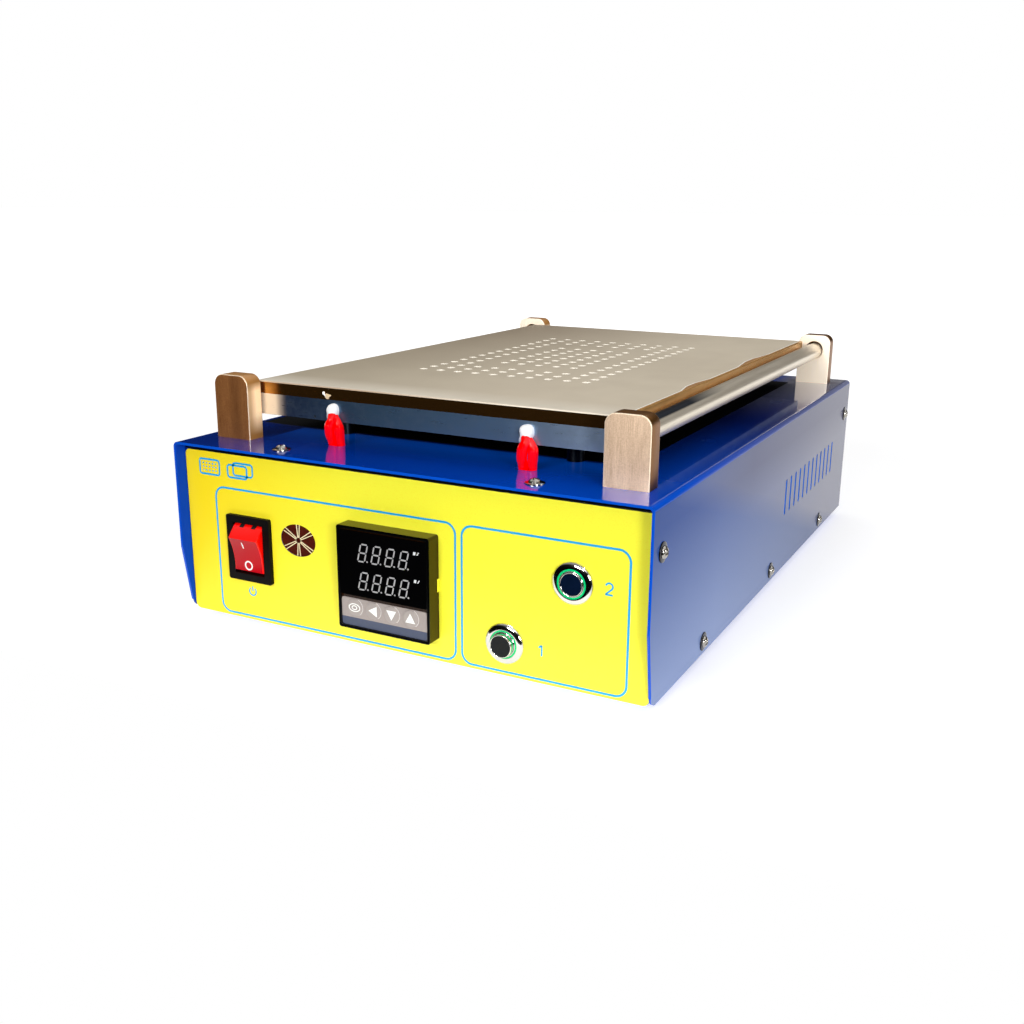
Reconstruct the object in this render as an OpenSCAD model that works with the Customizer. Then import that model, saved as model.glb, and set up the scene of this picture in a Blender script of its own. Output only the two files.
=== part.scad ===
// Vacuum separator for phone and tablet screens: a heated suction plate between two
// guide rods, on a folded sheet-metal case that holds the pump and the controls.
// X runs to the right, Y to the back and Z up. The origin is on the bench, under the
// middle of the machine. Places on the case are measured from the panel's face, from
// the middle of its width and from the underside of the case.

/* [Case] */
// Width over the cover
case_w = 242; // [236:1:300]
// Depth from the panel's face to the cover's back edge
case_d = 355; // [350:1:420]
// Height from the underside of the floor to the top of the cover
case_h = 85; // [82:1:110]
// Thickness of the case's sheet metal
sheet_t = 1.2; // [0.8:0.1:1.6]
// Outer radius of the cover's bends
bend_r = 2.5; // [2:0.1:4]
// How far the cover overhangs the panel from the kink up
lip_top = 6.2; // [2:0.1:7]
// How far the cover overhangs the rear wall
lip_rear = 5; // [4.6:0.1:8]
// How far the cover's sides overhang the panel at the bottom
lip_low = 0.9; // [0.2:0.1:2]
// Radius of the lower front corner of the cover's sides
lip_r = 4.5; // [1:0.5:8]
// Height of the kink in the front edge of the cover's sides
kink_z = 33; // [15:1:60]
// Width of the corner flanges that the cover's sides are screwed to
flange_w = 13; // [11:0.5:16]
// Height of the cover's vent slots
slot_h = 20; // [10:1:30]
// Width of a vent slot
slot_w = 3; // [2:0.1:5]
// Spacing of the vent slots
slot_pitch = 10.35; // [7:0.05:11]
// Number of vent slots in each side
slot_count = 12; // [4:1:12]
// Height of a rubber foot
foot_h = 5; // [3:0.5:12]
// Diameter of a rubber foot
foot_d = 16; // [12:0.5:24]

/* [Heated plate] */
// Width of the suction plate
plate_w = 190; // [170:1:194]
// Length of the suction plate
plate_l = 300; // [280:1:304]
// Thickness of the suction plate
plate_t = 6; // [4:0.5:9]
// Thickness of the heater block
block_t = 10; // [9:0.5:16]
// Height of the pillars between the cover and the heater block
pillar_h = 11.2; // [8:0.2:20]
// Diameter of a pillar
pillar_d = 8; // [7:0.5:12]
// Diameter of a suction hole
hole_d = 2.4; // [1:0.1:3.5]
// Diameter of a suction hole's countersink
sink_d = 4.6; // [3.8:0.1:6]
// Spacing of the suction holes across the plate
hole_pitch_x = 10.2; // [8:0.1:11]
// Spacing of the suction holes along the plate
hole_pitch_y = 10.3; // [8:0.1:11]
// Diameter of a heater cartridge
cartridge_d = 6; // [4:0.5:7]
// Distance between the two heater cartridges
cartridge_pitch = 100; // [90:1:120]

/* [Posts and rods] */
// Width of a corner post
post_w = 20; // [18:0.5:22]
// Thickness of a corner post
post_t = 10; // [9:0.5:11]
// Height of a corner post
post_h = 30.5; // [29:0.5:40]
// Radius of a post's top corners
post_r = 5; // [2:0.5:7]
// Diameter of a guide rod
rod_d = 10; // [8:0.5:11]
// Bore of a post, in which the rod lies loose
rod_bore = 11.2; // [11.2:0.1:13]
// Depth of that bore
rod_bore_depth = 7; // [5:0.5:8]

/* [Panel] */
// Thickness of the printed overlay
overlay_t = 0.4; // [0.2:0.1:0.8]
// Height of the overlay
overlay_h = 81; // [78:0.5:81]
// Radius of the overlay's corners
overlay_r = 3; // [2.5:0.1:5]
// Side of the temperature controller's bezel
ctl_size = 48; // [46:0.5:50]
// How far the controller stands proud of the panel
ctl_proud = 7.8; // [7.4:0.1:10]
// Depth of the controller's case behind the panel
ctl_depth = 88; // [60:1:90]
// Width of the power switch's bezel
switch_w = 25.5; // [25.5:0.1:28]
// Height of the power switch's bezel
switch_h = 32; // [32:0.1:35]
// Tilt of the rocker either way from the middle
rocker_tilt = 13; // [8:0.5:14]
// Head diameter of a push button
button_d = 18; // [18:0.1:22]
// How far a push button's cap stands out when released
button_out = 2.6; // [1.5:0.1:3]
// How far a push button's cap stands out when latched
button_latched = 0.5; // [0.2:0.1:1]
// Width of the buzzer grille's oval
grille_w = 20; // [14:0.5:22]
// Height of the buzzer grille's oval
grille_h = 15.4; // [12:0.1:18]

/* [Hidden] */
$fn = 48;

// Overrun of every cut
over = 1;
// Clearance of a piece that fits in another
fit = 0.15;
// Radial clearance of a shank, pin or shaft in its hole
run = 0.05;
// Clearance between the cover and the chassis
cover_gap = 0.2;

// Where the case stands in the machine's frame
case_z = foot_h;
panel_y = -(case_d - ctl_proud) / 2;
rear_y = case_d - lip_rear;
tray_w = case_w - 2 * sheet_t - 2 * cover_gap;
wall_top = case_h - sheet_t - cover_gap;

// Pan-head screw: shares of the head that its cross recess takes
recess_length_share = 0.56;
recess_width_share = 0.15;
recess_depth_share = 0.55;
screw_d = 4;
screw_head_d = 7.6;
screw_head_h = 2.2;
screw_l = 8;
small_screw_d = 3;
small_screw_head_d = 5.6;
small_screw_head_h = 1.8;
small_screw_l = 6;

// Places of the cover screws
side_screw_z = 6;
side_screw_high = 64.5;
side_screw_inset = 10.3;
side_screw_first = 63.5;
side_screw_count = 3;
side_screw_pitch = (case_d - 2 * side_screw_first) / (side_screw_count - 1);
top_screw_x = 65;
top_screw_y = 4.6;
side_flange_h = 12;
top_flange_w = 9;

// Vent slots
slot_z = 41.5;
slot_first = 200.3;

// Feet
foot_taper = 2;
foot_inset_x = 32;
foot_inset_y = 36;
foot_seat = 2.6;

// Plate, block and what holds them
plate_y = 24.5;
plate_edge = 0.5;
block_z = case_h + pillar_h;
plate_z = block_z + block_t;
plate_mid_y = plate_y + plate_l / 2;
field_y = 97.5;
ring_cols = 10;
ring_rows = 16;
ring_side = 2;
ring_end = 3;
core_cols = 5;
core_rows = 8;
sink_depth = 1.1;
chamber_rim = 1;
chamber_depth = 1.6;
field_w = (ring_cols - 1) * hole_pitch_x;
field_l = (ring_rows - 1) * hole_pitch_y;
pillar_x = 62;
pillar_inset = 26.5;
pillar_rows = [plate_y + pillar_inset, plate_y + plate_l - pillar_inset];
plate_screw_x = 84;
plate_screw_inset = 12;
plate_screw_sink = 3;
plate_screw_rows = [plate_y + plate_screw_inset, plate_mid_y, plate_y + plate_l - plate_screw_inset];
plate_screw_bite = 3;
cartridge_l = 260;
bore_drop = 0.5;
bore_mid_z = block_z + block_t / 2 - bore_drop;
lead_slot_w = 10.8;
lead_slot_h = 5.8;
lead_slot_y = 25.65;
bush_flange = 3;
bush_flange_t = 1.2;
face_hole_d = 1.4;
face_hole_x = 60.6;
face_hole_z = 1.4;
face_hole_depth = 4;
barb_hex = 11;
barb_hex_h = 4;
barb_thread = 8;
barb_end_z = 76;
hose_hole_d = 12;
couple_hole_d = 6;
couple_tip_d = 4;
couple_tip_l = 6;
pillar_bite = 6;

// Sealant blob at each heater bore
blob_d = 7.8;
blob_proud = 4.2;
blob_lift = 0.8;

// Posts and rods
rod_gap = 1;
post_x = plate_w / 2 + rod_gap + rod_d / 2;
post_front_gap = 1.2;
post_rear_gap = 7;
post_front_y = plate_y - post_front_gap - post_t;
post_rear_y = plate_y + plate_l + post_rear_gap;
rod_rise_share = 0.67;
rod_z = case_h + post_h * rod_rise_share;
rod_bore_z = rod_z + (rod_bore - rod_d) / 2 - run;
rod_play = 0.3;
rod_edge = 0.8;
post_screw_x = 6;
post_screw_depth = 9;

// Temperature controller
ctl_x = -2.4;
ctl_z = 34.1;
ctl_corner = 1.2;
ctl_body = 44.6;
ctl_wall = 1.5;
ctl_rim = 1.4;
ctl_recess = 1;
ctl_face = 1.9;
insert_w = 45;
lens_h = 30;
lens_t = 0.7;
lens_z = 6.9;
window_w = 30;
window_h = 22;
film_h = 13;
film_t = 0.5;
film_z = -16;
key_d = 7;
key_pitch = 9.8;
key_first = -15.4;
key_row = -13.7;
key_proud = 0.45;
key_travel = 0.4;
key_stem_d = 4;
key_stem_l = 3;
key_clear = 0.12;
notch_h = 5.7;
notch_depth = 5.5;
notch_in = 0.9;
notch_z = 1.3;
board_w = 41;
board_t = 1.6;
board_z = -6;
led_w = 28;
led_h = 9;
led_row = 4.9;
block_pitch = 6.2;
terminal_count = 6;
terminal_depth = 6;
bracket_wall = 2.4;
bracket_depth = 9;
bracket_gap = 3;
jack_d = 3;
jack_offset = 16;

// Power switch
switch_x = -82.3;
switch_z = 36;
switch_bezel_t = 2;
switch_corner = 1;
switch_body_w = 22.2;
switch_body_h = 29.6;
switch_depth = 22;
switch_wall = 0.8;
rocker_w = 17;
rocker_gap = 0.3;
pivot_depth = 6;
rocker_r = 13.6;
rocker_ridge_x = 8.5;
rocker_ridge_z = 10.6;
rocker_end_z = 5.3;
rocker_foot = 3;
rocker_sag = 1.2;
rocker_window_h = 24.9;
rocker_well = 13.2;
trunnion_d = 3;
trunnion_l = 1.2;
tab_w = 4.8;
tab_t = 0.8;
tab_l = 9;
tab_pitch_x = 10;
tab_pitch_z = 16;

// Push buttons
button_places = [[54.3, 14.9], [85.2, 47]];
bezel_t = 2;
bezel_bevel = 0.9;
thread_d = 16;
barrel_l = 22;
ring_outer = 12.8;
ring_inner = 11.2;
ring_depth = 5;
cap_d = 10.3;
cap_l = 9;
cap_edge = 0.6;
cap_well = 12;
nut_flats = 20;
nut_t = 3;

// Buzzer and its grille
grille_x = -54.2;
grille_z = 44.1;
grille_rim = 2;
grille_back = 0.9;
spoke_w = 0.55;
spoke_gap = 0.5;
spoke_splay = 3.2;
spoke_count = 6;
hub_r = 1.1;
oval_points = 48;
buzzer_d = 23;
buzzer_l = 10;
buzzer_port_d = 3;

// Relay on its heat sink
sink_w = 80;
sink_l = 60;
sink_base = 4;
sink_h = 15;
fin_t = 1.8;
fin_count = 14;
relay_w = 45;
relay_l = 58;
relay_h = 26;
relay_ear = 6;

// Power supply
psu_w = 78;
psu_h = 36;
psu_wall = 1;
psu_post = 5;
psu_board_t = 1.6;
psu_margin = 4;
psu_coil_d = 20;
psu_coil_h = 18;
psu_cap_d = 16;
psu_cap_h = 24;

// Terminal strip
strip_y = 118;
strip_w = 112;
strip_d = 18;
strip_h = 17;
strip_ways = 10;
strip_wall = 1.6;
strip_screw_d = 5;

// Pump
pump_x = 62;
pump_y = 202;
pump_axis_z = 34;
pump_foot_h = 6;
pump_foot_d = 9;
pump_plate_t = 1.5;
pump_base_w = 54;
pump_base_l = 96;
pump_head_w = 44;
pump_head_l = 30;
pump_head_wall = 3;
pump_chamber_d = 26;
pump_chamber_l = 17;
pump_cap_h = 11.5;
nozzle_d = 6;
nozzle_rise = 4;
nozzle_l = 10;
nozzle_x = 10;
motor_d = 36;
motor_l = 56;
motor_wall = 3;
boss_d = 12;
shaft_d = 4;
throw = 3;
throw_d = 14;
throw_l = 8;

// Power inlet with its fuse drawer
inlet_x = -70;
inlet_z = 43;
inlet_flange_w = 49;
inlet_flange_h = 35;
inlet_flange_t = 2.2;
inlet_corner = 3;
inlet_body_w = 28.4;
inlet_body_h = 31.5;
inlet_body_l = 30;
inlet_screw_pitch = 40;
socket_w = 24.2;
socket_h = 16.6;
socket_depth = 16;
socket_z = 4.6;
socket_chamfer = 5;
prong_w = 2;
prong_h = 4;
prong_l = 14;
prong_x = 7;
prong_rise = 2;
drawer_w = 23;
drawer_h = 8;
drawer_l = 25;
drawer_z = -10;
drawer_lip = 1.6;
drawer_wall = 1.2;
fuse_d = 5;
fuse_l = 20;

// Places of the relay and the power supply, between the terminal strip and the inlet
wall_room = 17;
strip_gap = 2;
sink_gap = 7;
inlet_gap = 20;
relay_x = wall_room + sink_w / 2 - case_w / 2;
relay_y = strip_y + strip_d / 2 + strip_gap + sink_l / 2;
psu_front = relay_y + sink_l / 2 + sink_gap;
psu_l = rear_y - inlet_body_l - inlet_gap - psu_front;
psu_x = wall_room + psu_w / 2 - case_w / 2;
psu_y = psu_front + psu_l / 2;

// Routes: each point is x, y, z and the diameter there, measured as the case's places are
lead_sides = 8;
lead_steps = 2;
lead_half = [[1.5, 23.2, 101.2, 2.8], [1.6, 20.9, 100, 3], [2.2, 20.4, 96.8, 4.2],
    [2.7, 21.9, 91.5, 5.1], [2.6, 25.4, 86.2, 4.8], [2.5, 26.2, 80, 4.6], [2.5, 27, 60, 4.6],
    [2.5, 46, 28, 4.6], [2.5, 84, 12, 4.6], [2.5, 98, 12, 4.6], [2.5, 109, 12, 4.6]];
hose_sides = 8;
hose_steps = 2;
hose_route = [[0, 174.5, 91, 8], [0, 174.5, 76, 8], [1, 173, 64, 8], [10, 166, 56, 8],
    [30, 163, 54, 8], [46, 168, 54, 8], [52, 182, 54, 8], [52, 200, 54, 8]];
couple_sides = 8;
couple_steps = 1;
couple_route = [[22, 76, 96.2, 2.6], [22, 76, 84, 2.6], [22, 80, 68, 2.6], [18, 98, 56, 2.6],
    [10, 104, 44, 2.6], [6, 98, 38, 2.6], [6, 90, 38, 2.6]];
mains_sides = 8;
mains_steps = 1;
mains_route = [[-66, 320, 46, 2.4], [-66, 314, 46, 2.4], [-98, 309, 46, 2.4],
    [-111, 296, 46, 2.4], [-112, 200, 46, 2.4], [-112, 100, 46, 2.4], [-98, 54, 44, 2.4],
    [-77.3, 38, 44, 2.4], [-77.3, 31, 44, 2.4]];
mains_spread = 16;

// Frames of reference
module at_case() {
    translate([0, panel_y, case_z]) children();
}
module on_panel(x, z) {
    translate([x, 0, z]) rotate([90, 0, 0]) children();
}
module on_rear(x, z) {
    translate([x, rear_y, z]) rotate([90, 0, 180]) children();
}
module on_side(side, y, z) {
    translate([side * case_w / 2, y, z]) rotate([0, side * 90, 0]) children();
}

// Plain shapes
module box(w, d, h) {
    translate([-w / 2, -d / 2, 0]) cube([w, d, h]);
}
module rounded(w, h, r) {
    square([w - 2 * r, h], center = true);
    square([w, h - 2 * r], center = true);
    for (i = [-1, 1], j = [-1, 1])
        translate([i * (w / 2 - r), j * (h / 2 - r)]) circle(r = r);
}
// An upright rectangle from z = 0 with two round top corners
module arch(w, h, r) {
    translate([-w / 2, 0]) square([w, h - r]);
    translate([-w / 2 + r, 0]) square([w - 2 * r, h]);
    for (i = [-1, 1]) translate([i * (w / 2 - r), h - r]) circle(r = r);
}
module oval(w, h) {
    polygon([for (i = [0 : oval_points - 1])
        [w / 2 * cos(360 * i / oval_points), h / 2 * sin(360 * i / oval_points)]]);
}

// Pan-head screw with a cross recess, its head above z = 0 and its shank below
module pan_screw(d, head_d, head_h, l) {
    dome_r = (pow(head_d / 2, 2) + pow(head_h, 2)) / (2 * head_h);
    difference() {
        intersection() {
            translate([0, 0, head_h - dome_r]) sphere(r = dome_r);
            cylinder(d = head_d, h = head_h + over);
        }
        for (a = [0, 90])
            rotate([0, 0, a]) translate([0, 0, head_h * (1 - recess_depth_share)])
                box(head_d * recess_length_share, head_d * recess_width_share, head_h);
    }
    translate([0, 0, -l]) cylinder(d = d, h = l);
}

// A tube swept along a smooth curve through points that each carry a diameter
function blend(a, b, c, d, t) = 0.5 * (2 * b + (c - a) * t + (2 * a - 5 * b + 4 * c - d) * t * t
    + (3 * b - a - 3 * c + d) * t * t * t);
function smooth(pts, steps) = let (last = len(pts) - 1) concat(
    [for (i = [0 : last - 1], s = [0 : steps - 1])
        blend(pts[max(i - 1, 0)], pts[i], pts[i + 1], pts[min(i + 2, last)], s / steps)],
    [pts[last]]);
function place(p) = [p[0], p[1], p[2]];
function unit(v) = v / norm(v);
function heading(path, i) =
    unit(place(path[min(i + 1, len(path) - 1)]) - place(path[max(i - 1, 0)]));
function across(v, t) = unit(v - (v * t) * t);
function sides_of(path, start, i = 0, done = []) = i == len(path) ? done
    : sides_of(path, start, i + 1,
        concat(done, [across(i == 0 ? start : done[i - 1], heading(path, i))]));
module tube(pts, steps, sides, start, grow = 0) {
    path = smooth(pts, steps);
    normal = sides_of(path, start);
    rings = len(path);
    points = [for (i = [0 : rings - 1], k = [0 : sides - 1])
        let (a = 360 * k / sides, n = normal[i], b = cross(heading(path, i), n))
        place(path[i]) + (path[i][3] / 2 + grow) * (cos(a) * n + sin(a) * b)];
    walls = [for (i = [0 : rings - 2], k = [0 : sides - 1], half = [0, 1])
        let (m = (k + 1) % sides, low = i * sides, high = low + sides)
        half == 0 ? [low + k, high + k, high + m] : [low + k, high + m, low + m]];
    caps = [[for (k = [0 : sides - 1]) k],
        [for (k = [0 : sides - 1]) rings * sides - 1 - k]];
    polyhedron(points, concat(walls, caps));
}

// Sheet-metal case

module panel_cuts(depth) {
    on_panel(ctl_x, ctl_z) translate([0, 0, -depth])
        box(ctl_body + 2 * fit, ctl_body + 2 * fit, depth + over);
    on_panel(switch_x, switch_z) translate([0, 0, -depth])
        box(switch_body_w + 2 * fit, switch_body_h + 2 * fit, depth + over);
    for (p = button_places)
        on_panel(p[0], p[1]) translate([0, 0, -depth])
            cylinder(d = thread_d + 2 * fit, h = depth + over);
    on_panel(grille_x, grille_z) translate([0, 0, -depth])
        linear_extrude(depth + over) oval(grille_w, grille_h);
}

// The tray from the front: bends along the floor's sides, and top corners that clear the cover's
module tray_outline() {
    intersection() {
        arch(tray_w, wall_top, bend_r - sheet_t - cover_gap);
        translate([0, wall_top]) rounded(tray_w, 2 * wall_top, bend_r);
    }
}

module chassis() {
    wall_y = overlay_t;
    inner = tray_w / 2 - sheet_t;
    depth = rear_y - wall_y;
    color("royalblue") at_case() difference() {
        intersection() {
            translate([0, rear_y, 0]) rotate([90, 0, 0]) linear_extrude(depth) tray_outline();
            union() {
                translate([-tray_w / 2, wall_y, 0]) cube([tray_w, depth, sheet_t]);
                translate([-tray_w / 2, wall_y, 0]) cube([tray_w, sheet_t, wall_top]);
                translate([-tray_w / 2, rear_y - sheet_t, 0]) cube([tray_w, sheet_t, wall_top]);
                for (y = [wall_y, rear_y - top_flange_w])
                    translate([-tray_w / 2, y, wall_top - sheet_t])
                        cube([tray_w, top_flange_w, sheet_t]);
                for (side = [-1, 1]) {
                    edge = side > 0 ? inner : -tray_w / 2;
                    translate([edge, wall_y, 0]) cube([sheet_t, depth, side_flange_h]);
                    for (y = [wall_y, rear_y - flange_w])
                        translate([edge, y, 0]) cube([sheet_t, flange_w, wall_top]);
                }
            }
        }
        panel_cuts(overlay_t + sheet_t + over);
        cover_screw_places() translate([0, 0, -screw_l - over])
            cylinder(d = screw_d + 2 * run, h = screw_l + over);
        foot_places() translate([0, 0, -over])
            cylinder(d = small_screw_d + 2 * run, h = sheet_t + 2 * over);
        on_rear(inlet_x, inlet_z) translate([0, 0, -sheet_t - over])
            box(inlet_body_w + 2 * fit, inlet_body_h + 2 * fit, sheet_t + 2 * over);
        on_rear(inlet_x, inlet_z) for (i = [-1, 1])
            translate([i * inlet_screw_pitch / 2, 0, -sheet_t - over])
                cylinder(d = small_screw_d + 2 * run, h = sheet_t + 2 * over);
    }
}

module front_overlay() {
    color("gold") at_case() difference() {
        translate([0, 0, overlay_h / 2]) rotate([90, 0, 0]) translate([0, 0, -overlay_t])
            linear_extrude(overlay_t) rounded(tray_w, overlay_h, overlay_r);
        panel_cuts(overlay_t + over);
    }
}

module cover_section() {
    difference() {
        arch(case_w, case_h, bend_r);
        translate([0, -over]) arch(case_w - 2 * sheet_t, case_h - sheet_t + over, bend_r - sheet_t);
    }
}

// What the front edge of the cover's sides tapers back by, down to a round lower corner
module front_taper() {
    translate([-case_w / 2 - over, 0, 0]) rotate([90, 0, 90]) linear_extrude(case_w + 2 * over) {
        polygon([[-lip_top - over, -over], [-lip_low, -over], [-lip_low, 0],
            [-lip_top, kink_z], [-lip_top - over, kink_z]]);
        difference() {
            translate([-lip_low - over, -over]) square([lip_r + over, lip_r + over]);
            translate([lip_r - lip_low, lip_r]) circle(r = lip_r);
        }
    }
}

module top_cover() {
    color("mediumblue") at_case() difference() {
        translate([0, case_d, 0]) rotate([90, 0, 0])
            linear_extrude(case_d + lip_top) cover_section();
        front_taper();
        for (i = [0 : slot_count - 1], side = [-1, 1])
            on_side(side, slot_first + i * slot_pitch, slot_z) translate([0, 0, -sheet_t - over])
                linear_extrude(sheet_t + 2 * over) rounded(slot_h, slot_w, slot_w / 2 - run);
        cover_screw_places() translate([0, 0, -sheet_t - over])
            cylinder(d = screw_d + 2 * fit, h = sheet_t + 2 * over);
        post_places() translate([0, 0, -sheet_t - over])
            post_screw_places() cylinder(d = screw_d + 2 * fit, h = sheet_t + 2 * over);
        pillar_places() translate([0, 0, -sheet_t - over])
            cylinder(d = screw_d + 2 * fit, h = sheet_t + 2 * over);
        for (i = [-1, 1])
            translate([i * cartridge_pitch / 2, lead_slot_y, case_h - sheet_t - over])
                linear_extrude(sheet_t + 2 * over) lead_slot(0);
        translate([0, plate_mid_y, case_h - sheet_t - over])
            cylinder(d = hose_hole_d, h = sheet_t + 2 * over);
        translate([couple_route[0][0], couple_route[0][1], case_h - sheet_t - over])
            cylinder(d = couple_hole_d, h = sheet_t + 2 * over);
    }
}

// Runs its child at every screw that holds the cover, z pointing out of the case
module cover_screw_places() {
    for (side = [-1, 1]) {
        for (y = [side_screw_inset - lip_top, case_d - side_screw_inset])
            on_side(side, y, side_screw_high) children();
        for (i = [0 : side_screw_count - 1])
            on_side(side, side_screw_first + i * side_screw_pitch, side_screw_z) children();
        for (y = [top_screw_y, rear_y - top_screw_y])
            translate([side * top_screw_x, y, case_h]) children();
    }
}

module cover_screws() {
    color("silver") at_case() cover_screw_places()
        pan_screw(screw_d, screw_head_d, screw_head_h, screw_l);
}

module foot_places() {
    for (i = [-1, 1], y = [foot_inset_y, case_d - foot_inset_y])
        translate([i * (case_w / 2 - foot_inset_x), y, 0]) children();
}

module rubber_feet() {
    color("dimgray") at_case() foot_places() difference() {
        translate([0, 0, -foot_h]) cylinder(d1 = foot_d - foot_taper, d2 = foot_d, h = foot_h);
        translate([0, 0, -foot_h - over]) cylinder(d = small_screw_d + 2 * run, h = foot_h + 2 * over);
        translate([0, 0, -foot_h - over])
            cylinder(d = small_screw_head_d + 2 * fit, h = foot_h - foot_seat / 2 + over);
    }
}

// Small screws that hold the feet and the power inlet
module small_screws() {
    color("silver") at_case() foot_places() translate([0, 0, -foot_seat / 2])
        rotate([180, 0, 0])
            pan_screw(small_screw_d, small_screw_head_d, small_screw_head_h, small_screw_l);
    color("silver") on_inlet() for (i = [-1, 1])
        translate([i * inlet_screw_pitch / 2, 0, inlet_flange_t])
            pan_screw(small_screw_d, small_screw_head_d, small_screw_head_h, small_screw_l);
}

// Heated suction plate

// Runs its child at every suction hole: a ring three rows deep at its ends and two
// columns deep at its sides, and a smaller block set half a pitch off inside it
module suction_places() {
    for (c = [0 : ring_cols - 1], r = [0 : ring_rows - 1])
        if (r < ring_end || r >= ring_rows - ring_end || c < ring_side || c >= ring_cols - ring_side)
            translate([-field_w / 2 + c * hole_pitch_x, field_y + r * hole_pitch_y, 0]) children();
    for (c = [0 : core_cols - 1], r = [0 : core_rows - 1])
        translate([(c - (core_cols - 1) / 2) * hole_pitch_x,
            field_y + (r + (ring_rows - core_rows) / 2) * hole_pitch_y, 0]) children();
}

module plate_screw_places() {
    for (i = [-1, 1], y = plate_screw_rows)
        translate([i * plate_screw_x, y, block_z]) children();
}

module vacuum_plate() {
    chamfer = plate_edge * sqrt(2);
    color("tan") at_case() difference() {
        translate([-plate_w / 2, plate_y, plate_z]) cube([plate_w, plate_l, plate_t]);
        for (i = [-1, 1])
            translate([i * plate_w / 2, plate_mid_y, plate_z + plate_t]) rotate([0, 45, 0])
                translate([0, 0, -chamfer / 2]) box(chamfer, plate_l + 2 * over, chamfer);
        for (i = [-1, 1])
            translate([0, plate_mid_y + i * plate_l / 2, plate_z + plate_t]) rotate([45, 0, 0])
                translate([0, 0, -chamfer / 2]) box(plate_w + 2 * over, chamfer, chamfer);
        suction_places() translate([0, 0, plate_z - over])
            cylinder(d = hole_d, h = plate_t + 2 * over, $fn = 16);
        suction_places() translate([0, 0, plate_z + plate_t - sink_depth])
            cylinder(d1 = hole_d, d2 = sink_d, h = sink_depth, $fn = 16);
        plate_screw_places() translate([0, 0, block_t - over])
            cylinder(d = screw_d + 2 * run, h = plate_screw_bite + over);
    }
}

module heater_block() {
    color("lightsteelblue") at_case() difference() {
        translate([-plate_w / 2, plate_y, block_z]) cube([plate_w, plate_l, block_t]);
        translate([0, field_y + field_l / 2, plate_z - chamber_depth])
            box(field_w + hole_d + 2 * chamber_rim, field_l + hole_d + 2 * chamber_rim,
                chamber_depth + over);
        for (i = [-1, 1])
            translate([i * cartridge_pitch / 2, plate_y - over, bore_mid_z])
                rotate([-90, 0, 0]) cylinder(d = cartridge_d + 2 * run, h = cartridge_l + 2 * over);
        translate([-face_hole_x, plate_y - over, block_z + face_hole_z]) rotate([-90, 0, 0])
            cylinder(d = face_hole_d, h = face_hole_depth + over);
        translate([0, plate_mid_y, block_z - over])
            cylinder(d = barb_thread + 2 * run, h = block_t + over);
        translate([couple_route[0][0], couple_route[0][1], block_z - over])
            cylinder(d = couple_tip_d + 2 * run, h = couple_tip_l + over);
        pillar_places() translate([0, 0, pillar_h - over])
            cylinder(d = screw_d + 2 * run, h = pillar_bite + over);
        plate_screw_places() {
            translate([0, 0, -over]) cylinder(d = screw_d + 2 * fit, h = block_t + 2 * over);
            translate([0, 0, -over])
                cylinder(d = screw_head_d + 2 * fit, h = plate_screw_sink + over);
        }
    }
}

module plate_screws() {
    color("silver") at_case() plate_screw_places() translate([0, 0, plate_screw_sink])
        rotate([180, 0, 0])
            pan_screw(screw_d, screw_head_d, screw_head_h, block_t - plate_screw_sink + plate_screw_bite);
}

module pillar_places() {
    for (i = [-1, 1], y = pillar_rows) translate([i * pillar_x, y, case_h]) children();
}

module plate_pillars() {
    color("silver") at_case() pillar_places() difference() {
        cylinder(d = pillar_d, h = pillar_h);
        translate([0, 0, -over]) cylinder(d = screw_d + 2 * run, h = pillar_h + 2 * over);
    }
}

// Screws from inside the cover that hold the pillars and the posts
module upright_screws() {
    color("silver") at_case() pillar_places() translate([0, 0, -sheet_t]) rotate([180, 0, 0])
        pan_screw(screw_d, screw_head_d, screw_head_h, sheet_t + pillar_h + pillar_bite);
    color("silver") at_case() post_places() translate([0, 0, -sheet_t]) post_screw_places()
        rotate([180, 0, 0])
            pan_screw(screw_d, screw_head_d, screw_head_h, post_screw_depth);
}

module heater_cartridges() {
    color("gray") at_case() for (i = [-1, 1])
        translate([i * cartridge_pitch / 2, plate_y + over, bore_mid_z])
            rotate([-90, 0, 0]) cylinder(d = cartridge_d, h = cartridge_l);
}

// One red sleeve of a pair: heater -1 is the left one, and half -1 its left sleeve
module lead(heater, half, grow = 0) {
    shift = heater * cartridge_pitch / 2;
    route = [for (p = lead_half) [shift + half * p[0], p[1], p[2], p[3]]];
    tube(route, lead_steps, lead_sides, [1, 0, 0], grow);
}

module heater_leads() {
    color("red") at_case() for (heater = [-1, 1], half = [-1, 1]) lead(heater, half);
}

// White sealant that caps a heater's bore where its leads come out
module sealant_plugs() {
    dome_r = (pow(blob_d / 2, 2) + pow(blob_proud, 2)) / (2 * blob_proud);
    color("white") at_case() for (heater = [-1, 1]) difference() {
        translate([heater * cartridge_pitch / 2, plate_y, bore_mid_z + blob_lift])
            rotate([90, 0, 0]) intersection() {
                translate([0, 0, blob_proud - dome_r]) sphere(r = dome_r);
                cylinder(d = blob_d, h = blob_proud + over);
            }
        for (half = [-1, 1]) lead(heater, half, run);
    }
}

// The slot that a pair of leads passes through, or the outline of the bushing under it
module lead_slot(rim) {
    rounded(lead_slot_w + 2 * rim, lead_slot_h + 2 * rim, lead_slot_h / 2 + rim - run);
}

module lead_bushings() {
    color("black") at_case() for (i = [-1, 1])
        translate([i * cartridge_pitch / 2, lead_slot_y, case_h - sheet_t - bush_flange_t])
            linear_extrude(bush_flange_t) difference() {
                lead_slot(bush_flange);
                lead_slot(0);
            }
}

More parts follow.
